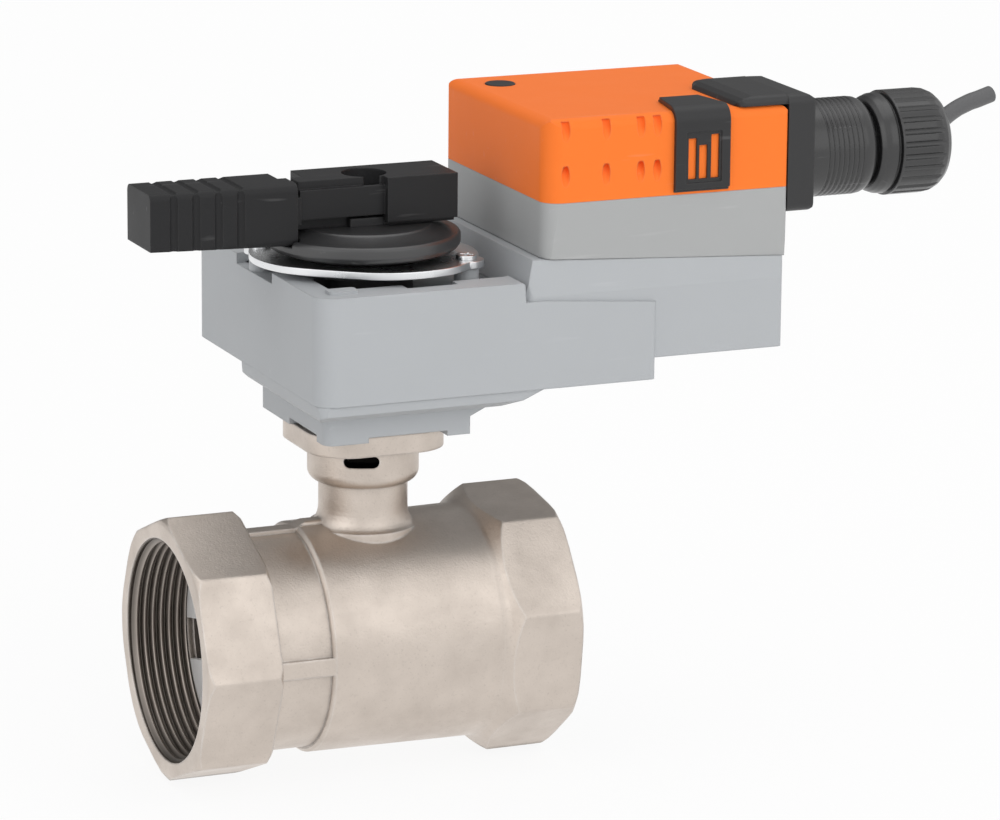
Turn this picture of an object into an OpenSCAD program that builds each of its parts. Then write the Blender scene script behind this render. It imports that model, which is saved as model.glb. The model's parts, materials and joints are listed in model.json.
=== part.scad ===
// Motorized quarter-turn ball valve with 2 inch pipe threads.
// The inlet mouth is at the origin, the pipe runs along +X and the stem along +Z.
// The actuator is drawn about the stem. Lengths are in millimetres.

/* [Pipe] */
// Length of the valve from mouth to mouth
valve_len = 105.5; // [102:0.5:125]
// Distance from the inlet mouth to the stem
stem_x = 56; // [55:0.5:62]
// Outside diameter of the pipe thread
thread_d = 59.6; // [57:0.1:60.4]
// Depth of the inlet thread
inlet_depth = 16.5; // [12:0.5:18]
// Depth of the outlet thread
outlet_depth = 17; // [12:0.5:18]
// Width of the octagonal ends across their flats
across_flats = 66.6; // [65:0.1:72]
// Length of the octagon at the inlet
inlet_oct = 20.4; // [19:0.1:22]
// Length of the octagon at the outlet
outlet_oct = 15.4; // [14:0.1:20]
// Turn of the outlet octagon about the pipe, from corner up
outlet_turn = 30.4; // [0:0.1:45]

/* [Valve body] */
// Diameter of the barrel beside the throat
barrel_d = 61.6; // [60.5:0.1:64]
// Diameter of the barrel at the outlet shoulder
barrel_end_d = 62.8; // [61:0.1:66]
// Diameter of the throat behind the inlet octagon
throat_d = 58.6; // [57.5:0.1:60]
// Length of the throat
throat_len = 15.6; // [12:0.1:18]
// Width of the ribs across the throat
rib_w = 4.8; // [3:0.1:8]
// Length of the conical shoulder at the outlet octagon
shoulder_len = 7; // [5:0.5:9]
// Diameter of the neck
neck_d = 23.7; // [21:0.1:26]
// Diameter of the collar under the flange
collar_d = 29.6; // [27:0.1:34]
// Height of the collar's lower edge above the pipe axis
collar_z = 41.8; // [40:0.1:44]
// Width of the square actuator flange
flange_w = 37.8; // [34:0.1:44]
// Thickness of the flange
flange_t = 5.4; // [4:0.1:6.5]
// Height of the flange's top above the pipe axis
flange_z = 57.6; // [56:0.1:62]

/* [Ball and stem] */
// Diameter of the ball
ball_d = 53; // [52:0.1:53.4]
// Diameter of the bore through the ball and the seats
port_d = 37; // [32:0.5:38]
// Radial wall of the seat rings
seat_wall = 6.1; // [5.5:0.1:6.3]
// Length of a seat ring along the pipe
seat_len = 9; // [7:0.5:10]
// Distance from the stem axis to the near face of a seat
seat_off = 13; // [12:0.5:14]
// Diameter of the stem
stem_d = 13.6; // [12:0.1:14.6]
// Width across the flats of the stem's square
stem_sq = 11; // [9:0.5:11.5]
// Length of the square above the flange
stem_sq_len = 26; // [22:1:28]
// Diameter of the shoulder that holds the stem in
stem_shoulder_d = 18; // [17:0.5:19]

/* [Lower housing] */
// Height of the foot that carries the gearbox
foot_h = 12.7; // [11:0.1:16]
// Height of the foot's lower tier
foot_tier = 8.2; // [6:0.1:9]
// Height of the gearbox base
base_h = 28.7; // [27:0.1:34]
// Distance of the base's free end from the stem
base_x0 = 25.5; // [24.5:0.5:32]
// Distance of the base's other end from the stem
base_x1 = 69; // [66:0.5:74]
// Distance of the base's front face from the stem
base_front = 34.4; // [34:0.1:37]
// Distance of the base's rear face from the stem
base_rear = 59; // [50:0.5:62]
// Radius of the base's two upright edges at its free end
base_r = 5.5; // [3:0.5:7]
// Wall thickness of the plastic housings
wall = 2.5; // [1.5:0.1:3]
// Thickness of the plate that closes the gearbox below
plate_t = 2.7; // [2:0.1:3.5]

/* [Upper housing] */
// Distance from the stem to the near face of the block
block_x0 = 37.4; // [37:0.1:40]
// Length of the block and its cover
block_len = 69.3; // [68:0.1:80]
// Width of the block and its cover
block_w = 67.4; // [66:0.1:72]
// Height of the block's underside above the base's underside
block_lift = 5.7; // [4:0.1:7]
// Height of the cover's lower edge above the base's underside
cover_lift = 48.8; // [47:0.1:54]
// Height of the cover
cover_h = 21.9; // [20:0.1:28]
// Radius of the cover's upright edge beside the lever
cover_r = 5; // [3:0.5:6]
// Radius of the other upright edges of the block and the cover
edge_r = 1.2; // [0.8:0.1:2]
// Radius of the cover's top edges
cover_top_r = 2.8; // [1:0.1:4]

/* [Lever and dial] */
// Diameter of the dial under the lever
dial_d = 51; // [46:0.5:52]
// Thickness of the dial
dial_t = 6.8; // [5.5:0.1:8]
// Width of the lever
lever_w = 18; // [14:0.5:20]
// Length of the lever from the stem to the tip of the grip
lever_len = 62; // [55:1:75]
// Length of the lever past the stem
lever_tail = 22.9; // [18:0.1:24]
// Height of the lever above the dial
lever_h = 13; // [11:0.5:16]
// Number of grooves across the grip
grip_grooves = 4; // [2:1:6]
// Distance between the grip's grooves
groove_pitch = 6.1; // [4:0.1:7]

/* [Gears] */
// Tooth module of the output pair
mod_out = 1.25; // [1.15:0.01:1.27]
// Tooth module of the middle pair
mod_mid = 0.8; // [0.7:0.01:0.85]
// Tooth module of the motor pair
mod_in = 0.6; // [0.5:0.01:0.65]
// Teeth of the output gear
teeth_out = 32; // [28:1:32]
// Teeth of the second gear's large wheel
teeth_second = 32; // [28:1:33]
// Teeth of the first gear's large wheel
teeth_first = 40; // [32:1:42]
// Face width of the output gear
gear_w = 8; // [6:0.5:9]

/* [Connector] */
// Distance of the gland's axis in front of the stem
gland_y = 19.5; // [17:0.5:20]
// Height of the gland's axis above the cover's lower edge
gland_lift = 6.9; // [5:0.1:8]
// Diameter of the gland body
gland_d = 26.2; // [24:0.1:27]
// Length of the gland body
gland_len = 20.3; // [18:0.1:26]
// Diameter of the gland nut over its flutes
nut_d = 28.2; // [26:0.1:29]
// Length of the gland nut
nut_len = 22.1; // [19:0.1:25]
// Number of flutes round the nut
nut_flutes = 26; // [12:1:30]
// Diameter of the cable
cable_d = 4.6; // [4:0.1:5.2]

/* [Fits] */
// Running clearance on radius of turning parts
run_gap = 0.1; // [0.05:0.01:0.15]
// Clearance round parts that slide together
slide_gap = 0.15; // [0.05:0.01:0.2]
// Clearance of the ball in the body
ball_gap = 0.4; // [0.35:0.05:0.6]

/* [Hidden] */
$fn = 96;

// Colours of the finishes
nickel = [0.78, 0.74, 0.69];
steel = [0.80, 0.81, 0.82];
grey = [0.70, 0.71, 0.72];
pale_grey = [0.76, 0.77, 0.79];
orange = [1.0, 0.45, 0.16];
black = [0.16, 0.16, 0.17];
ptfe = [0.93, 0.93, 0.90];
rubber = [0.08, 0.08, 0.08];
bronze = [0.72, 0.52, 0.30];
acetal = [0.88, 0.87, 0.82];
board_green = [0.10, 0.38, 0.20];

// Valve layout along the pipe
eps = 0.01;
thread_r = thread_d / 2;
apothem = across_flats / 2;
corner_r = apothem / cos(22.5);
seal_t = 0.8;
body_x = inlet_oct + seal_t;
barrel_x = body_x + throat_len - seal_t;
shoulder_x = valve_len - outlet_oct - shoulder_len;
ball_r = ball_d / 2;
port_r = port_d / 2;
cavity_r = ball_r + ball_gap + 0.3;
seat_r = port_r + seat_wall;
fit_gap = 0.1;
inlet_seat_x = stem_x - seat_off - seat_len;
spigot_end = stem_x - seat_off;
retainer_r = thread_r - 1.2;
retainer_t = 2;
notch_w = 11;
notch_deep = 3;
notch_turn = 12;
oct_round = 1.4;
mouth_chamfer = 2.4;
mouth_chamfer_len = 3.6;
back_chamfer = 1.2;
corner_over = 0.5;

// Stem layout
stem_r = stem_d / 2;
stem_bore_r = stem_r + 0.3;
shoulder_bore_r = stem_shoulder_d / 2 + 0.5;
shoulder_z = ball_r + 0.7;
shoulder_t = 3;
washer_t = 0.9;
washer_z = shoulder_z + shoulder_t + run_gap;
tang_w = 6;
tang_l = 12.4;
tang_deep = 5.1;
ring_d = 1.5;
ring_r = stem_bore_r - fit_gap - ring_d / 2;
seal_heights = [flange_z - 17.6, flange_z - 11.6];
stem_top = flange_z + stem_sq_len;
screw_r = 3;

// Bonnet layout
neck_r = neck_d / 2;
collar_r = collar_d / 2;
neck_flare = 2.6;
rib_low = 0.5;
rib_crest = 1;
spigot_half = 10;
spigot_h = 2;
flange_r = 11;
root_lift = 1;
window_w = 9.4;
window_h = 3.2;
window_drop = 2.7;
window_deep = 6;
window_turn = 23;

// Gearbox layout, about the stem
foot_z = flange_z;
base_z = foot_z + foot_h;
base_top = base_z + base_h;
plate_z = base_z + plate_t;
ceiling_z = plate_z + 18;
floor_z = ceiling_z + wall;
block_z = base_z + block_lift;
block_x1 = block_x0 + block_len;
block_half = block_w / 2;
cover_z = base_z + cover_lift;
cover_top = cover_z + cover_h;
block_front = base_front - 0.7;
ledge_in = 1.6;
ledge_left = 3;
crease_z = base_z + 24.5;
seam_z0 = cover_z - 14.7;
seam_z1 = seam_z0 - 4.1;
draft = 1.4;
slope_z0 = base_z + 23.5;
slope_z1 = base_z + 20.9;
toe = 5.7;
rim_x1 = block_x0 - toe - 0.5;
pocket_x0 = base_x0 - 7;
pocket_front = 25;
notch_x0 = 0.8;
pocket_rear = 23;
ledge_r = 3;
scallop_deep = 2.8;
scallop_len = 27;
lower_x1 = block_x1 - 0.7;

// Foot layout: a lower tier round the flange and an upper tier that slopes out to the base
tier_x0 = base_x0 - 5.5;
tier_x1 = 20.4;
tier_front = base_front - 9.9;
tier_rear = 24.5;
tier_r = 3;
upper_rear = 28;
foot_slope_x = 37.5;
foot_slope_z = 4.7;
arch_x0 = -8;
arch_x1 = 14;
arch_h = 1.4;
slot_y0 = -18;
slot_y1 = 2;
slot_h = 1.8;

// Hub layout
hub_r = 13;
hub_z = base_z - 3.8;
bush_wall = 3;
bush_flange = 2.5;
bush_lip = 0.9;
bush_fit = fit_gap / 2;
hub_disc_z = base_top + 0.3;
hub_disc_t = 1.3;
hub_disc_r = 20.5;
ring_z = base_top + 1.8;
ring_t = 2;
ring_in = 19;
ring_out = 24.4;
ring_reach = 6;
ear_r = 28;
ear_half = 4.6;
ear_turns = [142, -38];
boss_r = 3.3;
dial_z = base_top + 5.2;
dial_r = dial_d / 2;
dial_flat_r = 18;
dial_dish = 2;
key_w = 12;
key_h = 2.2;
lever_z = dial_z + dial_t;
lever_top = lever_z + lever_h;
grip_drop = 3.4;
grip_tip_drop = 2;
grip_r = 2;
first_groove = 6.4;
groove_r = 1.3;
lever_half = lever_w / 2;
split_x = 21.7;
split_w = 1.3;
arm_x = 3.3;
arm_step = 2.2;
arm_lift = 3;
block_step = 1.2;
recess_r = 6;
recess_deep = 8.5;

// Gear train, from the stem to the motor
teeth_pin_out = 12;
teeth_pin_mid = 10;
teeth_pin_in = 10;
pressure_angle = 25;
backlash = 0.1;
gear_z = plate_z + 1;
second_dist = mod_out * (teeth_out + teeth_pin_out) / 2;
second_turn = 40;
second_at = second_dist * [cos(second_turn), sin(second_turn)];
first_at = second_at + [mod_mid * (teeth_second + teeth_pin_mid) / 2, 0];
motor_at = first_at + [mod_in * (teeth_first + teeth_pin_in) / 2, 0];
wheel2_z = gear_z + gear_w + 0.6;
wheel2_w = 4;
wheel1_z = wheel2_z + wheel2_w + 0.7;
wheel1_w = 3;
pin_root = 1;
axle_r = 1.5;
axle_bore_r = axle_r + run_gap;
axle_sink = 1.3;
post_r = 3;
motor_r = 11;
motor_h = 24;
motor_bore = 1.2;
shaft_r = 1;

// Screws and their bosses
small_r = 1.45;
small_head_r = 2.8;
block_boss = 3.3;
block_screws = [for (x = [block_x0 + 5.6, block_x1 - 5.7], y = [-1, 1])
    [x, y * (block_half - 4.7)]];
boss_top = cover_z - 7.1;
plate_boss = 4;
plate_screws = [for (x = [-base_x0 + 6, base_x1 - 6], y = [-base_front + 6.4, base_rear - 6])
    [x, y]];
motor_screw_off = 8;

// Board, button and clip
lip_h = 1.9;
board_z = cover_z + lip_h;
board_t = 1.6;
button_at = [block_x0 + 9.7, 20.3];
button_r = 4;
button_rim = 1.5;
clip_x0 = block_x1 - 33.2;
clip_w = 15.7;
clip_t = 1.4;
clip_back = 17;
clip_taper = 2.4;
clip_seat = 0.05;
clip_lift = 0.7;
clip_slots = [[3.9, 10.8], [7, 8.9], [10.4, 11.6]];
clip_slot_w = 2.3;
pit_places = [5.4, 16.9, 26.7, 31.4];
pit_r = 1.1;
pit_tilt = 22;

// Connector and gland
plate_x1 = block_x1 + 7.6;
conn_y0 = -block_half;
conn_y1 = -gland_y + 17;
conn_z0 = cover_z - 7.2;
conn_rise = 2.5;
tongue_x0 = block_x1 - 14.8;
tongue_r = 3;
gland_z = cover_z + gland_lift;
gland_r = gland_d / 2;
gland_x1 = plate_x1 + gland_len;
thread_gap = 0.6;
nut_x0 = gland_x1 + thread_gap;
nut_x1 = nut_x0 + nut_len;
stub_r = 10;
stub_len = 3.8;
wire_r = 4.5;
mouth_r = 5.6;
mouth_deep = 11;
seat_x = nut_x1 - mouth_deep;
gland_ribs = 8;
rib_pitch = 1.45;
skirt_len = 4.6;
skirt_drop = 0.5;
skirt_curve = 2.6;
dome_len = 6;
dome_drop = 5;
flute_r = 0.9;
gland_shoulder = 3.6;
gland_drop = 2.4;

// Route of the cable's middle line from the seal's face, where it starts on the gland's axis
cable_route = [[0, 0, 0], [1.2, 0, 0], [2.8, 0.1, 0.1], [4.8, 0.3, 0.3], [7.1, 0.8, 0.7],
    [9.4, 1.4, 1.2], [11.5, 2.2, 2], [13.5, 3.2, 2.9], [15.4, 4.2, 3.9], [17.3, 5.2, 4.8],
    [19.3, 6.1, 5.6], [21.5, 6.9, 6.4], [23.7, 7.6, 7], [26, 8.2, 7.6], [28.3, 8.7, 8],
    [30.6, 9.2, 8.5], [32.9, 9.7, 9]];
cable_sides = 10;

// A rounded rectangle, and a block with its upright edges rounded
module plate2d(x0, x1, y0, y1, r = 0) {
    if (r > 0) {
        translate([x0 + r, y0]) square([x1 - x0 - 2 * r, y1 - y0]);
        translate([x0, y0 + r]) square([x1 - x0, y1 - y0 - 2 * r]);
        for (x = [x0 + r, x1 - r], y = [y0 + r, y1 - r]) translate([x, y]) circle(r);
    } else {
        translate([x0, y0]) square([x1 - x0, y1 - y0]);
    }
}

// A rectangle with its own radius at each corner: front left, front right, rear right, rear left
module corners2d(x0, x1, y0, y1, radii) {
    difference() {
        translate([x0, y0]) square([x1 - x0, y1 - y0]);
        corner_cut(x0, y0, 1, 1, radii[0]);
        corner_cut(x1, y0, -1, 1, radii[1]);
        corner_cut(x1, y1, -1, -1, radii[2]);
        corner_cut(x0, y1, 1, -1, radii[3]);
    }
}

module corner_cut(x, y, sx, sy, r) {
    difference() {
        translate([min(x - sx, x + sx * r), min(y - sy, y + sy * r)]) square(r + 1);
        translate([x + sx * r, y + sy * r]) circle(r);
    }
}

module cornered(x0, x1, y0, y1, z0, z1, radii) {
    translate([0, 0, z0]) linear_extrude(z1 - z0) corners2d(x0, x1, y0, y1, radii);
}

module block(x0, x1, y0, y1, z0, z1, r = 0) {
    translate([0, 0, z0]) linear_extrude(z1 - z0) plate2d(x0, x1, y0, y1, r);
}

// An outline in X and Z drawn along Y, and one in Y and Z drawn along X
module along_y(y0, y1) {
    translate([0, y1, 0]) rotate([90, 0, 0]) linear_extrude(y1 - y0) children();
}

module along_x(x0, x1) {
    translate([x0, 0, 0]) rotate([90, 0, 90]) linear_extrude(x1 - x0) children();
}

// A turned shape about the pipe axis from [position, radius] pairs
module turned(points) {
    rotate([0, 90, 0]) rotate_extrude() polygon([for (p = points) [p[1], p[0]]]);
}

module at_stem() {
    translate([stem_x, 0, 0]) children();
}

module ring(r_out, r_in, z, h) {
    translate([0, 0, z]) difference() {
        cylinder(r = r_out, h = h);
        translate([0, 0, -eps]) cylinder(r = r_in, h = h + 2 * eps);
    }
}

module pipe_bore(x0, x1, r) {
    translate([x0, 0, 0]) rotate([0, 90, 0]) cylinder(r = r, h = x1 - x0);
}

// Octagon along the pipe with rounded corners: the first corner is up
module octagon(x0, x1) {
    mid = (apothem - oct_round) / cos(22.5);
    translate([x0, 0, 0]) rotate([0, 90, 0]) linear_extrude(x1 - x0) {
        polygon([for (k = [0 : 7], s = [-1, 1]) polar(mid, 45 * k) + polar(oct_round, 45 * k + 22.5 * s)]);
        for (k = [0 : 7]) rotate(45 * k) translate([mid, 0]) circle(oct_round);
    }
}

// Seam between the lower and middle housings, which falls towards the connector
function seam_at(x) = seam_z0 + (seam_z1 - seam_z0) * (x - block_x0) / block_len;

// Involute gear outline with one tooth centred on the X axis
function rolled(rb, r) = sqrt(max(0, r * r / (rb * rb) - 1));
function flank_turn(rb, r) = rolled(rb, r) * 180 / PI - atan(rolled(rb, r));
function polar(r, a) = r * [cos(a), sin(a)];

module gear2d(teeth, m) {
    rp = m * teeth / 2;
    rb = rp * cos(pressure_angle);
    root = rp - m;
    tip = rp + 0.8 * m;
    inv = tan(pressure_angle) * 180 / PI - pressure_angle;
    half = 90 / teeth + inv - backlash / rp * 180 / PI;
    low = max(rb, root);
    radii = [low, (low + tip) / 2, tip];
    polygon([for (k = [0 : teeth - 1]) let (c = 360 * k / teeth) each concat(
        [polar(root, c - half)],
        [for (r = radii) polar(r, c - half + flank_turn(rb, r))],
        [for (i = [2 : -1 : 0]) polar(radii[i], c + half - flank_turn(rb, radii[i]))],
        [polar(root, c + half)])]);
}

module wheel(at, z, w, teeth, m, turn) {
    translate([at[0], at[1], z]) rotate([0, 0, turn]) linear_extrude(w) gear2d(teeth, m);
}

module axle_hole(at, r) {
    translate([at[0], at[1], base_z]) cylinder(r = r, h = base_h);
}

// A tube swept along points, with its rings square to the route
function unit(v) = v / norm(v);
function heading(path, i) = unit(path[min(i + 1, len(path) - 1)] - path[max(i - 1, 0)]);
function side_of(t, ref) = unit(cross(t, ref));
module swept(path, r, sides, ref) {
    n = len(path);
    rings = [for (i = [0 : n - 1]) let (t = heading(path, i), a = side_of(t, ref), b = cross(a, t))
        for (k = [0 : sides - 1]) path[i] + r * (cos(360 * k / sides) * a + sin(360 * k / sides) * b)];
    walls = [for (i = [0 : n - 2], k = [0 : sides - 1]) let (j = (k + 1) % sides)
        each [[i * sides + k, i * sides + j, (i + 1) * sides + j],
              [i * sides + k, (i + 1) * sides + j, (i + 1) * sides + k]]];
    caps = [[for (k = [sides - 1 : -1 : 0]) k], [for (k = [0 : sides - 1]) (n - 1) * sides + k]];
    polyhedron(rings, concat(walls, caps));
}

// Valve

// Rounded edge of a mouth at x, from the corners' radius down to the end face
function mouth(x, dir, a) = [x + dir * mouth_chamfer_len * (1 - sin(a)),
    corner_r + corner_over - (mouth_chamfer + corner_over) * (1 - cos(a))];

// Octagon of the outlet behind its shoulder, which rises in an S curve
module outlet_end() {
    intersection() {
        rotate([outlet_turn, 0, 0]) octagon(shoulder_x, valve_len);
        turned(concat([[shoulder_x, 0]],
            [for (a = [0 : 22.5 : 180]) [shoulder_x + shoulder_len * a / 180,
                barrel_end_d / 2 + (corner_r + corner_over - barrel_end_d / 2) * (1 - cos(a)) / 2]],
            [for (a = [0 : 22.5 : 90]) mouth(valve_len, -1, a)], [[valve_len, 0]]));
    }
}

// Ribs across the throat at the front and the rear, and one on top that runs on to the neck
module throat_ribs() {
    intersection() {
        turned([[body_x, 0], [body_x, barrel_d / 2 - rib_low], [barrel_x + 1, barrel_d / 2 - rib_low / 2],
            [barrel_x + 1, 0]]);
        along_x(body_x, barrel_x + 1) plate2d(-barrel_d / 2, barrel_d / 2, -rib_w / 2, rib_w / 2);
    }
    intersection() {
        along_x(body_x, stem_x) plate2d(-rib_w / 2, rib_w / 2, 0, barrel_d / 2 + rib_crest, 1);
        along_y(-rib_w, rib_w) polygon([[body_x, 0], [body_x, barrel_d / 2 - rib_low],
            [barrel_x, barrel_d / 2 - rib_low], [barrel_x + 3, barrel_d / 2 + rib_crest],
            [stem_x, barrel_d / 2 + rib_crest], [stem_x, 0]]);
    }
}

// Neck with its flared root, cupped collar and square flange with a raised square on top
module bonnet() {
    cylinder(r = neck_r, h = flange_z - flange_t);
    rotate_extrude() polygon(concat([[0, ball_r], [neck_r + neck_flare, ball_r]],
        [for (a = [0 : 15 : 90])
            [neck_r + neck_flare * (1 - sin(a)), barrel_d / 2 - root_lift + 2 * neck_flare * (1 - cos(a))]],
        [[0, barrel_d / 2 - root_lift + 2 * neck_flare]]));
    cup = collar_r - neck_r;
    rotate_extrude() {
        translate([neck_r, collar_z + cup]) intersection() {
            circle(cup);
            translate([0, -cup]) square(cup);
        }
        translate([0, collar_z]) square([neck_r, flange_z - flange_t - collar_z]);
        translate([0, collar_z + cup]) square([collar_r, flange_z - flange_t - collar_z - cup]);
    }
    block(-flange_w / 2, flange_w / 2, -flange_w / 2, flange_w / 2, flange_z - flange_t, flange_z, flange_r);
    block(-spigot_half, spigot_half, -spigot_half, spigot_half, flange_z - eps, flange_z + spigot_h, 1);
}

// Leak windows on two sides of the collar
module bonnet_windows() {
    for (side = [0, 180]) rotate([0, 0, side - window_turn])
        translate([0, 0, flange_z - flange_t - window_drop]) along_y(-collar_r - 1, window_deep - collar_r)
            plate2d(-window_w / 2, window_w / 2, -window_h / 2, window_h / 2, window_h / 2 - eps);
}

module valve_body() color(nickel) difference() {
    union() {
        turned([[body_x, 0], [body_x, throat_d / 2 - 0.5], [body_x + 0.5, throat_d / 2],
            [barrel_x, throat_d / 2], [barrel_x, barrel_d / 2 - 0.8], [barrel_x + 0.8, barrel_d / 2],
            [shoulder_x + eps, barrel_end_d / 2], [shoulder_x + eps, 0]]);
        outlet_end();
        throat_ribs();
        at_stem() bonnet();
    }
    pipe_bore(body_x - 1, stem_x + seat_off, cavity_r);
    pipe_bore(stem_x, stem_x + seat_off + seat_len, seat_r + fit_gap);
    pipe_bore(stem_x, valve_len, port_r);
    pipe_bore(valve_len - outlet_depth, valve_len + 1, thread_r);
    at_stem() {
        cylinder(r = stem_bore_r, h = flange_z + spigot_h + 1);
        cylinder(r = shoulder_bore_r, h = washer_z + washer_t);
        bonnet_windows();
    }
}

module end_piece() color(nickel) difference() {
    union() {
        intersection() {
            octagon(0, inlet_oct);
            turned(concat([[0, 0]], [for (a = [90 : -22.5 : 0]) mouth(0, 1, a)],
                [[inlet_oct - back_chamfer - corner_over, corner_r + corner_over],
                [inlet_oct, corner_r - back_chamfer], [inlet_oct, 0]]));
        }
        pipe_bore(inlet_oct - eps, spigot_end, cavity_r - fit_gap);
    }
    pipe_bore(-1, inlet_depth, thread_r);
    pipe_bore(0, inlet_depth + retainer_t, retainer_r + fit_gap);
    pipe_bore(0, spigot_end + 1, seat_r + fit_gap);
}

// Ring that holds the inlet seat, with a rim and a slot across it for a key
module seat_retainer() color(nickel) difference() {
    union() {
        pipe_bore(inlet_depth, inlet_depth + retainer_t, retainer_r);
        pipe_bore(inlet_depth, inlet_seat_x, seat_r);
    }
    pipe_bore(inlet_depth - 1, inlet_seat_x + 1, port_r);
    rotate([-notch_turn, 0, 0]) translate([inlet_depth - 1, -thread_r, -notch_w / 2])
        cube([notch_deep + 1, thread_d, notch_w]);
}

module body_seal() color(ptfe) difference() {
    pipe_bore(inlet_oct, body_x, throat_d / 2 - 0.5);
    pipe_bore(inlet_oct - 1, body_x + 1, cavity_r);
}

module ball() color(steel) at_stem() difference() {
    sphere(ball_r);
    pipe_bore(-ball_r, ball_r, port_r);
    translate([-tang_w / 2 - slide_gap, -ball_r, shoulder_z - tang_deep - 1])
        cube([tang_w + 2 * slide_gap, ball_d, ball_r]);
}

// Seat ring with its hollow face round the ball
module seat(x0) color(ptfe) difference() {
    pipe_bore(x0, x0 + seat_len, seat_r);
    pipe_bore(x0 - 1, x0 + seat_len + 1, port_r);
    at_stem() sphere(ball_r + ball_gap);
}

module inlet_seat() seat(inlet_seat_x);

module outlet_seat() seat(stem_x + seat_off);

module stem() color(steel) at_stem() difference() {
    union() {
        block(-tang_w / 2, tang_w / 2, -tang_l / 2, tang_l / 2, shoulder_z - tang_deep, shoulder_z + eps);
        translate([0, 0, shoulder_z]) cylinder(d = stem_shoulder_d, h = shoulder_t);
        translate([0, 0, shoulder_z]) cylinder(r = stem_r, h = flange_z - shoulder_z);
        intersection() {
            cylinder(r = stem_r, h = stem_top);
            block(-stem_sq / 2, stem_sq / 2, -stem_sq / 2, stem_sq / 2, flange_z - eps, stem_top);
        }
    }
    for (z = seal_heights) translate([0, 0, z]) rotate_extrude()
        translate([ring_r - ring_d / 2, -ring_d / 2 - fit_gap]) square([ring_d * 2, ring_d + 2 * fit_gap]);
    translate([0, 0, stem_top - 14]) cylinder(r = screw_r + fit_gap / 2, h = 15);
}

module stem_seals() color(rubber) at_stem() for (z = seal_heights)
    translate([0, 0, z]) rotate_extrude() translate([ring_r, 0]) circle(d = ring_d);

module thrust_washer() color(ptfe) at_stem()
    ring(shoulder_bore_r - 0.2, stem_bore_r, washer_z, washer_t);

// Foot and lower housing

// Slope at the foot's right end, which both tiers share
module foot_side(low) {
    along_y(-base_front, upper_rear) polygon([[-base_x0, low], [tier_x1, low],
        [tier_x1, foot_z + foot_slope_z], [foot_slope_x, base_z], [-base_x0, base_z]]);
}

// Upper tier, whose edges draw in from the base to the lower tier
module upper_tier() {
    low = foot_z + foot_tier - 0.3;
    intersection() {
        foot_side(foot_z);
        along_y(-base_front, upper_rear) polygon([[-base_x0 + 0.6, base_z], [-base_x0 + 1.2, low + 1.3],
            [-base_x0 + 2.4, low], [foot_slope_x, low], [foot_slope_x, base_z]]);
        along_x(-base_x0, foot_slope_x) polygon([[-base_front + 0.5, base_z], [-base_front + 1, low + 2.1],
            [-base_front + 5.4, low], [upper_rear - 3, low], [upper_rear, low + 1.8], [upper_rear, base_z]]);
        block(-base_x0, foot_slope_x + base_r, -base_front, upper_rear, foot_z, base_z, base_r);
    }
}

module mounting_base() color(grey) at_stem() difference() {
    socket = spigot_half + slide_gap;
    union() {
        intersection() {
            foot_side(foot_z);
            block(-tier_x0, foot_slope_x, -tier_front, tier_rear, foot_z, foot_z + foot_tier, tier_r);
        }
        upper_tier();
    }
    block(-socket, socket, -socket, socket, foot_z - 1, foot_z + spigot_h + 0.3, 1);
    cylinder(r = stem_bore_r + 1, h = base_z);
    translate([0, 0, hub_z - run_gap]) cylinder(r = hub_r + bush_wall + bush_fit, h = foot_h);
    // Arch in the front of the lower edge, and a slot in the free end
    block(arch_x0, arch_x1, -base_front, -spigot_half - 6, foot_z - 1, foot_z + arch_h);
    block(-base_x0, -tier_x0 + 3, slot_y0, slot_y1, foot_z - 1, foot_z + slot_h);
}

// Outline of the base seen from the front: level rim, step and falling ledge
module base_outline() {
    polygon([[-base_x0, base_z], [base_x1, base_z], [base_x1, slope_z1], [block_x0, slope_z0],
        [rim_x1 + 0.6, slope_z0], [rim_x1 + 0.3, base_top - 0.5], [rim_x1 - 0.3, base_top],
        [-base_x0, base_top]]);
}

// Main block below the seam, with the pale ledge drawn in towards the top
module ledge_block() {
    intersection() {
        along_y(-block_front, block_front) polygon([[block_x0 - toe, block_z], [lower_x1, block_z],
            [lower_x1, seam_at(lower_x1)], [block_x0 - ledge_left, seam_at(block_x0)],
            [block_x0 - toe + 0.3, crease_z], [block_x0 - toe, crease_z - 2]]);
        along_x(block_x0 - toe, lower_x1) polygon([[-block_front, block_z], [block_front, block_z],
            [block_front, crease_z], [block_front - ledge_in, seam_z0], [-block_front + ledge_in, seam_z0],
            [-block_front, crease_z]]);
        cornered(block_x0 - toe, lower_x1, -block_front, block_front, block_z, seam_z0,
            [ledge_r, edge_r, edge_r, ledge_r]);
    }
}

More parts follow.
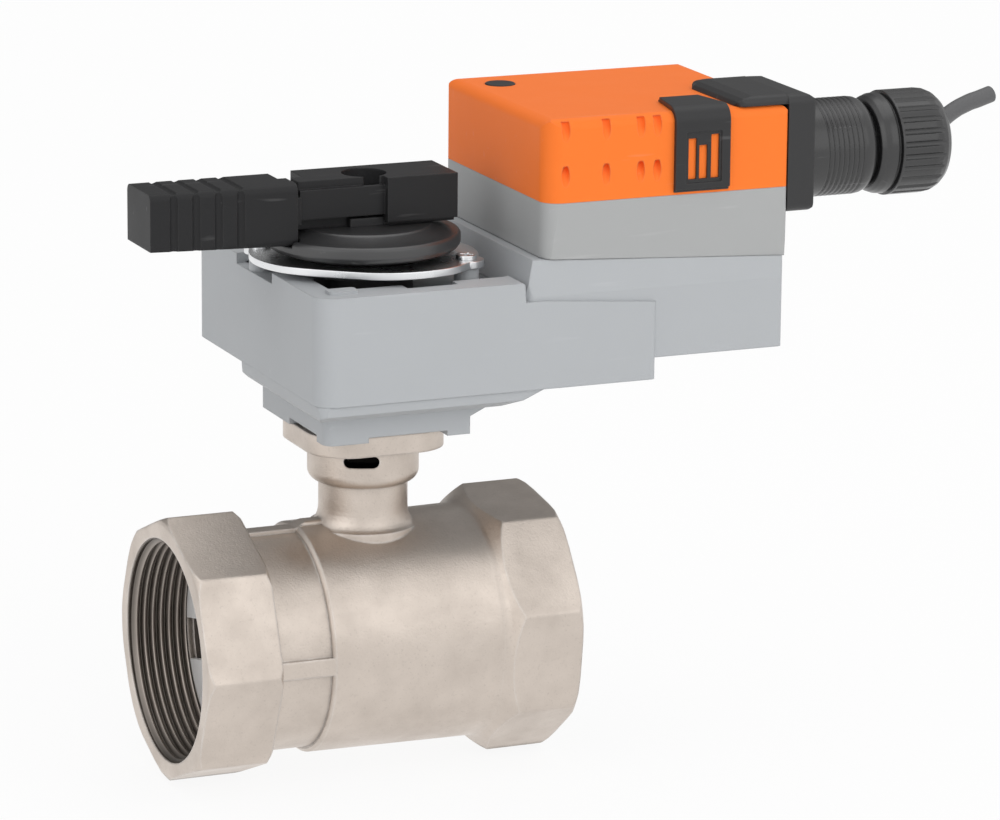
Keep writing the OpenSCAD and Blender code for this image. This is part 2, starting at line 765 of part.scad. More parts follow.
module lower_housing() color(pale_grey) at_stem() difference() {
    union() {
        difference() {
            union() {
                intersection() {
                    along_y(-base_front, base_rear) base_outline();
                    cornered(-base_x0, base_x1, -base_front, base_rear, base_z, base_top,
                        [base_r, edge_r, edge_r, base_r]);
                }
                ledge_block();
            }
            // Gear room, rear room and the two rooms under and over the motor deck
            block(-base_x0 + wall, base_x1 - wall, -base_front + wall, base_rear - wall,
                base_z - 1, ceiling_z, base_r - wall);
            block(-base_x0 + wall, rim_x1 - wall, pocket_rear + wall, base_rear - wall,
                ceiling_z - 1, base_top - wall, base_r - wall);
            block(base_x1 - 8, lower_x1 - wall, -block_front + wall, block_front - wall,
                block_z + wall, ceiling_z);
            block(block_x0 + wall, lower_x1 - wall, -block_front + ledge_in + wall,
                block_front - ledge_in - wall, floor_z, seam_z0 + 1, 2);
            // Open pocket round the hub, with a notch through its front edge
            block(-pocket_x0, rim_x1 + 0.5, -pocket_front, pocket_rear, floor_z, base_top + 1, 3);
            block(notch_x0, notch_x0 + 14, -pocket_front - 4, -pocket_front + 1, floor_z + 2, base_top + 1);
            // Scallop in the free end's top edge, beside the ear
            block(-base_x0 - 1, -base_x0 + wall + 5, 0, scallop_len, base_top - scallop_deep, base_top + 1, 2);
        }
        for (p = plate_screws) translate([p[0], p[1], plate_z]) cylinder(r = plate_boss, h = 10);
        intersection() {
            for (p = block_screws) translate([p[0], p[1], floor_z - eps])
                cylinder(r = block_boss, h = 30);
            ledge_block();
        }
        translate([ear_r * cos(ear_turns[0]), ear_r * sin(ear_turns[0]), base_top - scallop_deep - 1])
            cylinder(r = boss_r, h = ring_z - base_top + scallop_deep + 1);
        translate([ear_r * cos(ear_turns[1]), ear_r * sin(ear_turns[1]), floor_z - eps])
            cylinder(r = boss_r, h = ring_z - floor_z + eps);
        translate([second_at[0], second_at[1], wheel2_z + wheel2_w + 0.2])
            cylinder(r = post_r, h = ceiling_z - wheel2_z - wheel2_w - 0.2 + eps);
        block(-base_x0 + 4.5, -base_x0 + 12.5, -base_front + 4, -base_front + 8.6,
            base_top - eps, base_top + 0.8, 1);
    }
    translate([0, 0, ceiling_z - 1]) cylinder(r = hub_r + run_gap, h = wall + 2);
    for (p = plate_screws) translate([p[0], p[1], plate_z - 1])
        cylinder(r = small_r + fit_gap / 2, h = 9);
    for (p = block_screws) translate([p[0], p[1], floor_z + 1])
        cylinder(r = small_r + fit_gap / 2, h = 20);
    for (a = ear_turns) translate([ear_r * cos(a), ear_r * sin(a), ring_z - 6])
        cylinder(r = small_r + fit_gap / 2, h = 7);
    for (p = [second_at, first_at]) translate([p[0], p[1], ceiling_z - 8])
        cylinder(r = axle_r + fit_gap / 2, h = 8 + axle_sink);
    translate([motor_at[0], motor_at[1], ceiling_z - 1]) cylinder(r = 3.3, h = wall + 2);
    for (s = [-1, 1]) translate([motor_at[0], motor_at[1] + s * motor_screw_off, ceiling_z - 1])
        cylinder(r = 1.1, h = wall + 2);
}

// Plate that closes the gearbox, with a hole for the bush and posts for the gears
module base_plate() color(grey) at_stem() difference() {
    union() {
        block(-base_x0 + wall + fit_gap, base_x1 - wall - fit_gap, -base_front + wall + fit_gap,
            base_rear - wall - fit_gap, base_z, plate_z, base_r - wall);
        translate([second_at[0], second_at[1], plate_z - eps])
            cylinder(r = post_r, h = gear_z - plate_z - 0.2 + eps);
        translate([first_at[0], first_at[1], plate_z - eps])
            cylinder(r = post_r - 0.5, h = wheel2_z - plate_z - 0.2 + eps);
    }
    translate([0, 0, base_z - 1]) cylinder(r = hub_r + bush_wall + bush_fit, h = plate_t + 2);
    for (p = plate_screws) translate([p[0], p[1], base_z - 1]) {
        cylinder(r = small_head_r + 0.2, h = 2.2);
        cylinder(r = small_r + fit_gap, h = plate_t + 2);
    }
    for (p = [second_at, first_at]) translate([p[0], p[1], plate_z - axle_sink])
        cylinder(r = axle_r + fit_gap / 2, h = 20);
}

// Screw with a pan head; its head sits at z = 0 and its shank runs towards negative z
module small_screw(shank) {
    translate([0, 0, -shank]) cylinder(r = small_r, h = shank);
    difference() {
        cylinder(r = small_head_r, h = 1.2);
        for (a = [0, 90]) rotate([0, 0, a]) translate([-1.8, -0.35, 0.5]) cube([3.6, 0.7, 1]);
    }
}

module base_screws() color(steel) at_stem() for (p = plate_screws)
    translate([p[0], p[1], base_z + 1.2]) rotate([180, 0, 0]) small_screw(plate_t + 4);

module middle_housing() color(grey) at_stem() difference() {
    union() {
        difference() {
            middle_block();
            block(block_x0 + wall, block_x1 - wall, -block_half + draft + wall,
                block_half - draft - wall, seam_z1 - 2, cover_z + lip_h + 1, 2);
        }
        intersection() {
            for (p = block_screws) translate([p[0], p[1], seam_z1 - 1])
                cylinder(r = block_boss, h = boss_top - seam_z1 + 1);
            middle_block();
        }
    }
    for (p = block_screws) {
        translate([p[0], p[1], seam_z1 - 2]) cylinder(r = small_r + fit_gap, h = boss_top);
        translate([p[0], p[1], boss_top]) cylinder(r = small_head_r + 0.2, h = cover_z);
    }
}

// The middle block narrows towards the seam and carries a lip that locates the cover
module middle_block() {
    intersection() {
        along_y(-block_half, block_half) polygon([[block_x0, seam_at(block_x0)],
            [block_x1, seam_at(block_x1)], [block_x1, cover_z], [block_x0, cover_z]]);
        along_x(block_x0, block_x1) polygon([[-block_half + draft, seam_z1 - 1],
            [block_half - draft, seam_z1 - 1], [block_half, cover_z], [-block_half, cover_z]]);
        cornered(block_x0, block_x1, -block_half, block_half, seam_z1 - 1, cover_z,
            [cover_r, edge_r, edge_r, edge_r]);
    }
    in_cover(wall + slide_gap, cover_z - 1, cover_z + lip_h);
}

// What lies inside the cover at an even distance from its outside
module in_cover(inset, z0, z1) {
    cornered(block_x0 + inset, block_x1 - inset, -block_half + inset, block_half - inset, z0, z1,
        [max(cover_r - inset, 0.5), 0.5, 0.5, 0.5]);
}

module housing_screws() color(steel) at_stem() for (p = block_screws)
    translate([p[0], p[1], boss_top]) small_screw(boss_top - floor_z - 3);

// Cover: a rounded shell with four pits in its front and four more up to its top edge
module cover() color(orange) at_stem() difference() {
    cover_form(0, [cover_r, edge_r, edge_r, edge_r], cover_top_r);
    translate([0, 0, -eps]) cover_form(wall, [max(cover_r - wall, 0.5), 0.5, 0.5, 0.5], 0.5);
    for (x = pit_places, z = [cover_z + 9.4, cover_top - 0.6]) translate([block_x0 + x, 0, z]) pit();
    translate([button_at[0], button_at[1], cover_top - wall - 1])
        cylinder(r = button_r + slide_gap, h = wall + 2);
    translate([block_x1 - wall - 1, -gland_y, gland_z]) rotate([0, 90, 0])
        cylinder(r = wire_r, h = wall + 2);
}

// Pit with a flat upper end and a floor that runs out to the front face below
module pit() {
    translate([0, 1 - block_half, 0]) rotate([180 - pit_tilt, 0, 0]) cylinder(r = pit_r, h = 7);
}

module cover_form(inset, radii, top_r) {
    x0 = block_x0 + inset;
    x1 = block_x1 - inset;
    y1 = block_half - inset;
    z1 = cover_top - inset;
    intersection() {
        cornered(x0, x1, -y1, y1, cover_z, z1, radii);
        along_y(-y1, y1) crowned(x0, x1, cover_z, z1, top_r);
        along_x(x0, x1) crowned(-y1, y1, cover_z, z1, top_r);
    }
}

module crowned(a, b, low, high, r) {
    translate([a, low]) square([b - a, high - low - r]);
    translate([a + r, low]) square([b - a - 2 * r, high - low]);
    for (x = [a + r, b - r]) translate([x, high - r]) circle(r);
}

// Clip folded over the cover's rounded front edge, with a recess and three slots in its front
module latch_clip() color(black) at_stem() difference() {
    y0 = -block_half - clip_t;
    y1 = y0 + clip_back;
    z0 = cover_z + clip_lift;
    z1 = cover_top + clip_t;
    x1 = clip_x0 + clip_w;
    intersection() {
        translate([0, 0, z0]) linear_extrude(z1 - z0) polygon([[clip_x0, y0], [x1, y0], [x1, y0 + 3],
            [x1 - clip_taper, y1], [clip_x0 + clip_taper, y1], [clip_x0, y0 + 3]]);
        along_x(clip_x0, x1) clip_section(y0, y1, z0, z1);
    }
    along_x(clip_x0 - 1, x1 + 1)
        crowned(-block_half - clip_seat, block_half, cover_z, cover_top + clip_seat, cover_top_r + clip_seat);
    translate([clip_x0 + 3.1, y0 - 1, z0 + 2.4]) cube([clip_w - 5.6, 1.6, 13.4]);
    for (c = clip_slots) translate([clip_x0 + c[0], y0 - 1, z0 + 3.3]) cube([clip_slot_w, clip_t + 2, c[1]]);
}

// Outline of the clip from the side: upright, round bend and strap
module clip_section(y0, y1, z0, z1) {
    bend = cover_top_r + clip_t;
    translate([y0, z0 + 0.8]) square([5, z1 - z0 - 0.8 - bend]);
    translate([y0 + 0.8, z0]) square([4.2, 2]);
    translate([y0 + bend, z1 - bend]) square([y1 - y0 - bend - 1, bend]);
    translate([y0 + bend, z1 - bend]) square([y1 - y0 - bend, bend - 0.8]);
    translate([y0 + bend, z1 - bend]) circle(bend);
}

// End plate of the connector, with a crowned tongue over the cover
module connector_housing() color(black) at_stem() difference() {
    top = cover_top + conn_rise;
    union() {
        intersection() {
            along_x(block_x1, plate_x1) plate2d(conn_y0, conn_y1, conn_z0, top, 2.5);
            along_y(conn_y0, conn_y1) polygon([[block_x1, conn_z0], [plate_x1 - 1, conn_z0],
                [plate_x1, conn_z0 + 1], [plate_x1, top - 1.4], [plate_x1 - 1.4, top - 0.4],
                [block_x1, top]]);
        }
        intersection() {
            cornered(tongue_x0, block_x1 + 1, conn_y0 + 0.6, conn_y1, cover_top, top + 1,
                [tongue_r, 0.1, 0.1, tongue_r]);
            along_y(conn_y0, conn_y1) polygon([[tongue_x0, cover_top], [block_x1 + 1, cover_top],
                [block_x1 + 1, top], [tongue_x0 + 5, top], [tongue_x0 + 2, top - 0.5],
                [tongue_x0 + 0.5, top - 1.3]]);
            along_x(tongue_x0, block_x1 + 1) plate2d(conn_y0 + 0.6, conn_y1, cover_top - 4, top, 2);
        }
    }
    translate([block_x1 - 1, -gland_y, gland_z]) rotate([0, 90, 0])
        cylinder(r = wire_r, h = plate_x1 - block_x1 + 2);
}

module at_gland() {
    translate([stem_x, -gland_y, gland_z]) children();
}

module gland_body() color(black) at_gland() difference() {
    ribs_x0 = gland_x1 - gland_shoulder - gland_ribs * rib_pitch;
    turned(concat([[plate_x1, 0], [plate_x1, gland_r]],
        [for (k = [0 : gland_ribs - 1]) let (x = ribs_x0 + k * rib_pitch)
            each [[x, gland_r], [x + 0.25, gland_r - 0.3], [x + 0.5, gland_r - 0.3], [x + 0.75, gland_r]]],
        [for (a = [0 : 22.5 : 90])
            [gland_x1 - gland_shoulder * (1 - sin(a)), gland_r - gland_drop * (1 - cos(a))]],
        [[gland_x1, stub_r], [gland_x1 + stub_len, stub_r], [gland_x1 + stub_len, 0]]));
    pipe_bore(plate_x1 - 1, gland_x1 + stub_len + 1, wire_r);
}

// Nut with a round skirt, a groove, fluted sides and a domed end
module gland_nut() color(black) at_gland() difference() {
    nut_r = nut_d / 2;
    turned(concat([[nut_x0, 0]],
        [for (a = [0 : 22.5 : 90])
            [nut_x0 + skirt_len * (1 - cos(a)), nut_r - skirt_drop - skirt_curve * (1 - sin(a))]],
        [[nut_x0 + skirt_len + 0.5, nut_r - 1.3], [nut_x0 + skirt_len + 0.9, nut_r - 1.3],
        [nut_x0 + skirt_len + 1.2, nut_r]],
        [for (a = [0 : 18 : 90]) [nut_x1 - dome_len * (1 - sin(a)), nut_r - dome_drop * (1 - cos(a))]],
        [[nut_x1, 0]]));
    for (k = [0 : nut_flutes - 1]) rotate([360 * k / nut_flutes, 0, 0])
        translate([nut_x0 + skirt_len + 1.8, 0, nut_r + 0.25]) rotate([0, 90, 0])
            cylinder(r = flute_r, h = nut_len, $fn = 16);
    pipe_bore(nut_x0 - 1, seat_x, stub_r + slide_gap);
    pipe_bore(seat_x - 1, nut_x1 + 1, mouth_r);
}

// The seal's face carries the cable's end
module gland_seal() color(rubber) at_gland() difference() {
    pipe_bore(gland_x1 + stub_len, seat_x, stub_r);
    pipe_bore(gland_x1 + stub_len - 1, seat_x + 1, cable_d / 2 - 0.4);
}

module cable() color(black) at_gland() translate([seat_x, 0, 0])
    swept(cable_route, cable_d / 2, cable_sides, [0, 0, 1]);

// Button with a rim that holds it under the cover, and its spring on the board
module release_button() color(black) at_stem() translate([button_at[0], button_at[1], 0]) {
    rim_z = cover_top - wall - run_gap - button_rim;
    translate([0, 0, rim_z]) cylinder(r = button_r + button_rim, h = button_rim);
    translate([0, 0, rim_z]) cylinder(r = button_r, h = cover_top + 0.3 - rim_z);
    translate([0, 0, rim_z - 3]) cylinder(r = button_r - 2.2, h = 3 + eps);
}

module button_spring() color(steel) at_stem() {
    wire = 0.6;
    low = board_z + board_t + wire / 2;
    high = cover_top - wall - run_gap - button_rim - wire / 2;
    curls = 6;
    steps = 8;
    coil = [for (k = [0 : curls * steps]) let (a = 360 * k / steps)
        [button_at[0] + 3 * cos(a), button_at[1] + 3 * sin(a), low + (high - low) * k / curls / steps]];
    swept(coil, wire / 2, 6, [0, 0, 1]);
}

module circuit_board() color(board_green) at_stem()
    block(block_x0 + wall + slide_gap, block_x1 - wall - slide_gap, -block_half + wall + slide_gap,
        block_half - wall - slide_gap, board_z, board_z + board_t, max(cover_r - wall, 0.6));

module terminal_block() color(pale_grey) at_stem() difference() {
    x1 = block_x1 - wall - 3;
    block(x1 - 9, x1, -gland_y - 8, -gland_y + 12, board_z + board_t, board_z + board_t + 8.5);
    for (k = [0 : 3]) translate([x1 - 4.5, -gland_y - 5.5 + k * 5, board_z + board_t + 4])
        cylinder(r = 1.6, h = 6);
}

// Hub, dial and lever

// Oval ring round the hub's disc, screwed down at its two ears
module retaining_ring() color(steel) at_stem() difference() {
    union() {
        for (a = ear_turns) rotate([0, 0, a]) {
            block(0, ring_reach, -ring_out, ring_out, ring_z, ring_z + ring_t);
            translate([ring_reach, 0, ring_z]) cylinder(r = ring_out, h = ring_t);
            translate([ear_r, 0, ring_z]) cylinder(r = ear_half, h = ring_t);
        }
    }
    translate([0, 0, ring_z - 1]) cylinder(r = ring_in, h = ring_t + 2);
    for (a = ear_turns) rotate([0, 0, a]) translate([ear_r, 0, ring_z - 1])
        cylinder(r = small_r + fit_gap, h = ring_t + 2);
}

module ring_screws() color(steel) at_stem() for (a = ear_turns)
    rotate([0, 0, a]) translate([ear_r, 0, ring_z + ring_t]) small_screw(ring_t + 5);

// Dial with a flat middle and a dished rim; the lever's grip sits in a notch of it
module dial() color(black) at_stem() difference() {
    rotate_extrude() polygon([[0, dial_z], [dial_r - 2.2, dial_z], [dial_r - 0.8, dial_z + 0.6],
        [dial_r, dial_z + 1.8], [dial_r, lever_z - dial_dish - 0.7], [dial_r - 0.6, lever_z - dial_dish],
        [dial_r - 1.6, lever_z - dial_dish], [dial_flat_r + 0.6, lever_z - 0.5], [dial_flat_r, lever_z],
        [0, lever_z]]);
    ring(dial_r - 5, hub_r + 2, dial_z - 1, dial_t - 1);
    block(-dial_r - 1, -split_x + 0.6, -lever_half - 0.5, lever_half + 0.5,
        lever_z - grip_drop - 0.1, lever_z + 1);
    block(-key_w / 2 - fit_gap, key_w / 2 + fit_gap, -key_w / 2 - fit_gap, key_w / 2 + fit_gap,
        dial_z - 1, lever_z + 1);
}

// Grip with rounded long edges and an underside that falls towards the split
module grip() {
    intersection() {
        along_y(-lever_half, lever_half) polygon([[-lever_len, lever_z - grip_tip_drop],
            [-split_x, lever_z - grip_drop], [-split_x, lever_top], [-lever_len, lever_top]]);
        along_x(-lever_len, -split_x)
            plate2d(-lever_half, lever_half, lever_z - grip_drop, lever_top, grip_r);
    }
}

// Lever: the grip, a split with a thin web, and the arm over the dial
module lever() color(black) at_stem() difference() {
    arm_x0 = -split_x + split_w;
    union() {
        grip();
        block(-split_x - eps, arm_x0 + eps, -lever_half + 1, lever_half - 1, lever_z + 2, lever_top - 3.8);
        block(arm_x0, lever_tail, -lever_half, lever_half, lever_z, lever_top);
    }
    // Grooves round the grip
    for (k = [0 : grip_grooves - 1]) translate([-lever_len + first_groove + k * groove_pitch, 0, 0]) {
        for (s = [-1, 1]) translate([0, s * (lever_half + groove_r / 2), lever_z - grip_drop - 1])
            cylinder(r = groove_r, h = lever_h + grip_drop + 2);
        translate([0, lever_half + 1, lever_top + groove_r / 2]) rotate([90, 0, 0])
            cylinder(r = groove_r, h = lever_w + 2);
    }
    // Arm set back at the front, with a stepped upper edge and an undercut
    block(arm_x0, arm_x, -lever_half - 1, -lever_half + 2, lever_z - 1, lever_top + 1);
    block(arm_x0, arm_x, -lever_half, -lever_half + 3.4, lever_top - arm_step, lever_top + 1);
    block(arm_x0, arm_x, -lever_half, -lever_half + 5, lever_z - 1, lever_z + arm_lift);
    block(arm_x, lever_tail + 1, -lever_half - 1, -key_w / 2 - 0.5, lever_z - 1, lever_z + block_step);
    block(-split_x - 2.3, arm_x0 + 3.4, 0, lever_half + 1, lever_top - 3.2, lever_top + 1);
    translate([0, 0, lever_top - recess_deep]) cylinder(r = recess_r, h = recess_deep + 1);
    cylinder(r = screw_r + 0.2, h = lever_top);
    block(-key_w / 2 - fit_gap, key_w / 2 + fit_gap, -key_w / 2 - fit_gap, key_w / 2 + fit_gap,
        lever_z - 1, lever_z + key_h + fit_gap);
}

module centre_screw() color(steel) at_stem() difference() {
    seat = lever_top - recess_deep;
    union() {
        translate([0, 0, seat]) cylinder(r = 4.8, h = 4);
        translate([0, 0, stem_top - 12]) cylinder(r = screw_r, h = seat - stem_top + 12 + eps);
    }
    translate([0, 0, seat + 1.6]) cylinder(r = 2.9, h = 4, $fn = 6);
}

module drive_hub() color(black) at_stem() difference() {
    union() {
        translate([0, 0, hub_z]) cylinder(r = hub_r, h = dial_z - hub_z);
        translate([0, 0, hub_disc_z]) cylinder(r = hub_disc_r, h = hub_disc_t);
        block(-key_w / 2, key_w / 2, -key_w / 2, key_w / 2, dial_z - eps, lever_z + key_h, 0);
        block(hub_r - 1, hub_r + 1.6, -1.5, 1.5, gear_z, gear_z + gear_w);
    }
    half = stem_sq / 2 + fit_gap;
    block(-half, half, -half, half, hub_z - 1, stem_top + 0.5);
    cylinder(r = screw_r + 0.3, h = lever_top);
}

module hub_bush() color(bronze) at_stem() difference() {
    union() {
        ring(hub_r + bush_wall, hub_r + run_gap, hub_z - run_gap, plate_z - hub_z + run_gap);
        ring(hub_r + bush_wall + bush_flange, hub_r + run_gap, plate_z, bush_lip);
    }
}

// Gear train

module output_gear() color(acetal) at_stem() difference() {
    wheel([0, 0], gear_z, gear_w, teeth_out, mod_out, second_turn);
    axle_hole([0, 0], hub_r + fit_gap / 2);
    block(0, hub_r + 1.7, -1.6, 1.6, gear_z - 1, gear_z + gear_w + 1);
}

// Each pinion has a gap towards the wheel that it meets
module second_gear() color(acetal) at_stem() difference() {
    union() {
        wheel(second_at, gear_z, wheel2_z - gear_z + pin_root, teeth_pin_out, mod_out,
            second_turn + 180 + 180 / teeth_pin_out);
        wheel(second_at, wheel2_z, wheel2_w, teeth_second, mod_mid, 0);
    }
    axle_hole(second_at, axle_bore_r);
}

module first_gear() color(acetal) at_stem() difference() {
    union() {
        wheel(first_at, wheel2_z, wheel1_z - wheel2_z + pin_root, teeth_pin_mid, mod_mid,
            180 + 180 / teeth_pin_mid);
        wheel(first_at, wheel1_z, wheel1_w, teeth_first, mod_in, 0);
    }
    axle_hole(first_at, axle_bore_r);
}

module gear_axles() color(steel) at_stem() for (p = [second_at, first_at])
    translate([p[0], p[1], plate_z - axle_sink])
        cylinder(r = axle_r, h = ceiling_z - plate_z + 2 * axle_sink);

module motor() color(steel) at_stem() translate([motor_at[0], motor_at[1], 0]) difference() {
    union() {
        translate([0, 0, floor_z]) cylinder(r = motor_r, h = motor_h - 2);
        translate([0, 0, floor_z]) cylinder(r = motor_r - 2.5, h = motor_h);
        translate([0, 0, ceiling_z + 0.3]) cylinder(r = 3.2, h = wall);
    }
    translate([0, 0, ceiling_z]) cylinder(r = motor_bore, h = wall + 6);
    for (s = [-1, 1]) translate([0, s * motor_screw_off, floor_z - 1]) cylinder(r = 1, h = 6);
}

module motor_screws() color(steel) at_stem() for (s = [-1, 1])
    translate([motor_at[0], motor_at[1] + s * motor_screw_off, 0]) {
        translate([0, 0, ceiling_z - 0.9]) cylinder(r = 1.9, h = 0.9);
        translate([0, 0, ceiling_z - eps]) cylinder(r = 0.95, h = wall + 4);
    }

module motor_pinion() color(bronze) at_stem() {
    low = wheel1_z - 0.3;
    wheel(motor_at, low, wheel1_w + 0.6, teeth_pin_in, mod_in, 180 + 180 / teeth_pin_in);
    translate([motor_at[0], motor_at[1], low]) cylinder(r = shaft_r, h = wall + 8);
}

valve_body();
end_piece();
seat_retainer();
body_seal();
ball();
inlet_seat();
outlet_seat();
stem();
stem_seals();
thrust_washer();
mounting_base();
lower_housing();
base_plate();
base_screws();
middle_housing();
housing_screws();
cover();
latch_clip();
connector_housing();
gland_body();
gland_nut();
gland_seal();
cable();
release_button();
button_spring();
retaining_ring();
ring_screws();
dial();
lever();
centre_screw();
drive_hub();
hub_bush();
output_gear();
second_gear();
first_gear();
gear_axles();
motor();
motor_screws();
motor_pinion();
circuit_board();
terminal_block();
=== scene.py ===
"""Looks of a motorized quarter-turn ball valve, built round its CAD frame.

Everything is in metres in the frame of the CAD: the inlet mouth is at the origin, the pipe runs
along +X and the stem stands along +Z.
"""

import json
from math import radians, tau

import bmesh
import bpy
import numpy as np
from bpy.props import FloatProperty, FloatVectorProperty, IntProperty, PointerProperty
from mathutils import Matrix, Vector


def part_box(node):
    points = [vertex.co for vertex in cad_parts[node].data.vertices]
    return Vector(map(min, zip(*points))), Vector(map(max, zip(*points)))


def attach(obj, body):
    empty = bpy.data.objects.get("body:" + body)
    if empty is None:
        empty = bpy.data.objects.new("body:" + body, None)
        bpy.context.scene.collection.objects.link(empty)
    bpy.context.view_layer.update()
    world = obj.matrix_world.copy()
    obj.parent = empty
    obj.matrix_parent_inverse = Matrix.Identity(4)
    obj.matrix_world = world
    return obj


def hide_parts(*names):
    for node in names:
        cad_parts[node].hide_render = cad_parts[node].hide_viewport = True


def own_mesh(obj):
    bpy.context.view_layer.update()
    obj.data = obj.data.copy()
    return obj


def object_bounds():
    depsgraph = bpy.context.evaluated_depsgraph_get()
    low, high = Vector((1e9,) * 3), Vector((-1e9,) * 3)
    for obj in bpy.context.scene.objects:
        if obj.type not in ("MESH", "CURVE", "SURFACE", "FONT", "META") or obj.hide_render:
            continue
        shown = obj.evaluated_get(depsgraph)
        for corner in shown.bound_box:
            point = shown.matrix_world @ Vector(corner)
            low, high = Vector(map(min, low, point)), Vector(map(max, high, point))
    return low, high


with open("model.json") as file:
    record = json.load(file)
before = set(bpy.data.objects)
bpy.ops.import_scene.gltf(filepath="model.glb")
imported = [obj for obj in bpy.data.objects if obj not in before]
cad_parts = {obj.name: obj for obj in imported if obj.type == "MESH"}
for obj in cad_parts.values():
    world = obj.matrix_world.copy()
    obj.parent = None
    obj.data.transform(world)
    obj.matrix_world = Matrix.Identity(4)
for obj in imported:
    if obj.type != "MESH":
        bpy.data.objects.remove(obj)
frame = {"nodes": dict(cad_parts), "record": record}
cad_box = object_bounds()

bl_info = {
    "name": "Motorized control valve",
    "version": (1, 0, 0),
    "blender": (4, 5, 0),
    "location": "View3D > Sidebar > Valve",
    "description": "Finishes, threads, cable and studio of a motorized ball valve",
    "category": "Object",
}

MM = 0.001


def corners(node):
    """Lowest and highest corner of a CAD node at rest, as two arrays."""
    return [np.array(corner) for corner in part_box(node)]


# Places that the CAD nodes give
INLET_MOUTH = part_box("end_piece")[0][0]
OUTLET_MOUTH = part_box("valve_body")[1][0]
SEAL_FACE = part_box("gland_seal")[1][0]
GLAND_AXIS = sum(corners("gland_nut")) / 2
STEM_X = float(sum(corners("stem"))[0] / 2)

# Slots in the collar: how far from the stem their mouth is, and their lower and upper edge
WINDOW_WALL = 14.5 * MM
WINDOW_LOW = 47.7 * MM
WINDOW_HIGH = 51.3 * MM

# Space round the ring in the inlet that shows through its notches: its radius, and its two ends,
# which lie a little behind the ring's front and a little past its back
POCKET_WALL = 28.5 * MM
POCKET_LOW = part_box("seat_retainer")[0][0] + 1 * MM
POCKET_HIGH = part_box("seat_retainer")[1][0] + 0.5 * MM

# Colour of places that light doesn't reach
SHADE = (0.012, 0.011, 0.010)

# Threads: how pointed the turns are, from 0, a sine, to 1, a triangle; how far their root stands in
# from the bore, the outside of their sleeve behind it, and its ends from the ends of the thread
THREAD_POINT = 0.94
ROOT_INSET = 0.05 * MM
SLEEVE_OUTSET = 0.2 * MM
THREAD_MARGIN = 0.3 * MM

# Heights over the root, as shares of a thread's depth, between which painted shade in its grooves grows
GROOVE_TOP = 0.9
GROOVE_BOTTOM = 0.25

# Points nearer than MERGE are one, faces that turn by less than FLAT are one, and edges that turn by
# more than SHARP are rounded; at FACE_WEIGHT the large faces set the normals
MERGE = 1e-6
FLAT = radians(0.6)
SHARP = radians(26)
FACE_WEIGHT = 100

# Noise scales, in waves to a metre
FLOOR_CLOUDS = 3.0
CLOUDS = 45.0
TARNISH = 70.0
TOOL_TONE = 120.0
CAST_WAVES = 160.0
EDGE_BREAKS = 260.0
CORNER_SHADE_BREAKS = 300.0

# Handling marks: turn of the pattern, and its waves to a metre along and across the marks
MARKS_TURN = (0.3, 0.2, 0.6)
MARKS_SCALE = (40.0, 700.0, 420.0)

# Camera: lens and sensor in millimetres, how far it sees and its place in metres, and its back and
# its right as directions
LENS = 186.12
SENSOR = 36.0
VIEW_END = 100.0
CAMERA_PLACE = Vector((-0.42994, -1.23254, 0.38873))
CAMERA_BACK = Vector((-0.3805, -0.8929, 0.2406))
CAMERA_RIGHT = Vector((0.92076, -0.39003, 0.00864))

# Lamps: place from the middle of the part and side, in metres, and whether metal mirrors them
LAMPS = {
    "key": ((0.5, -1.7, 1.1), 2.4, False),
    "sheen": ((0.45, -1.6, 0.9), 1.4, True),
    "fill": ((-1.9, -0.6, 0.7), 1.8, True),
    "top": ((0.1, 0.1, 1.9), 1.8, True),
    "rear": ((0.8, 1.7, 1.0), 2.0, False),
}

# World: the heights of a direction between which its light grows, the share of the light below them,
# and how far back a direction points where the white in metal starts to dim and where it is dimmest
SKY_SPAN = (-0.3, 0.6)
GROUND_SHARE = 0.7
BACKDROP_SPAN = (0.35, 0.88)

# Points along each side of the floor
FLOOR_POINTS = 9

WHITE = (1.0, 1.0, 1.0, 1.0)

# A curve's round section has twice as many faces as its bevel resolution plus this
BEVEL_EXTRA = 2

# Middle line of the cable from the seal's face, in millimetres
CABLE_ROUTE = [
    (0, 0, 0), (1.2, 0, 0), (2.8, 0.1, 0.1), (4.8, 0.3, 0.3), (7.1, 0.8, 0.7), (9.4, 1.4, 1.2),
    (11.5, 2.2, 2), (13.5, 3.2, 2.9), (15.4, 4.2, 3.9), (17.3, 5.2, 4.8), (19.3, 6.1, 5.6),
    (21.5, 6.9, 6.4), (23.7, 7.6, 7), (26, 8.2, 7.6), (28.3, 8.7, 8), (30.6, 9.2, 8.5),
    (32.9, 9.7, 9),
]


def colour(name, description, default):
    """A colour that the user can change."""
    return FloatVectorProperty(
        name=name, description=description, subtype="COLOR", size=3, min=0, max=1, default=default
    )


def length(name, description, default):
    """A length that the user can change, in metres."""
    return FloatProperty(
        name=name, description=description, default=default, min=0, unit="LENGTH", precision=5
    )


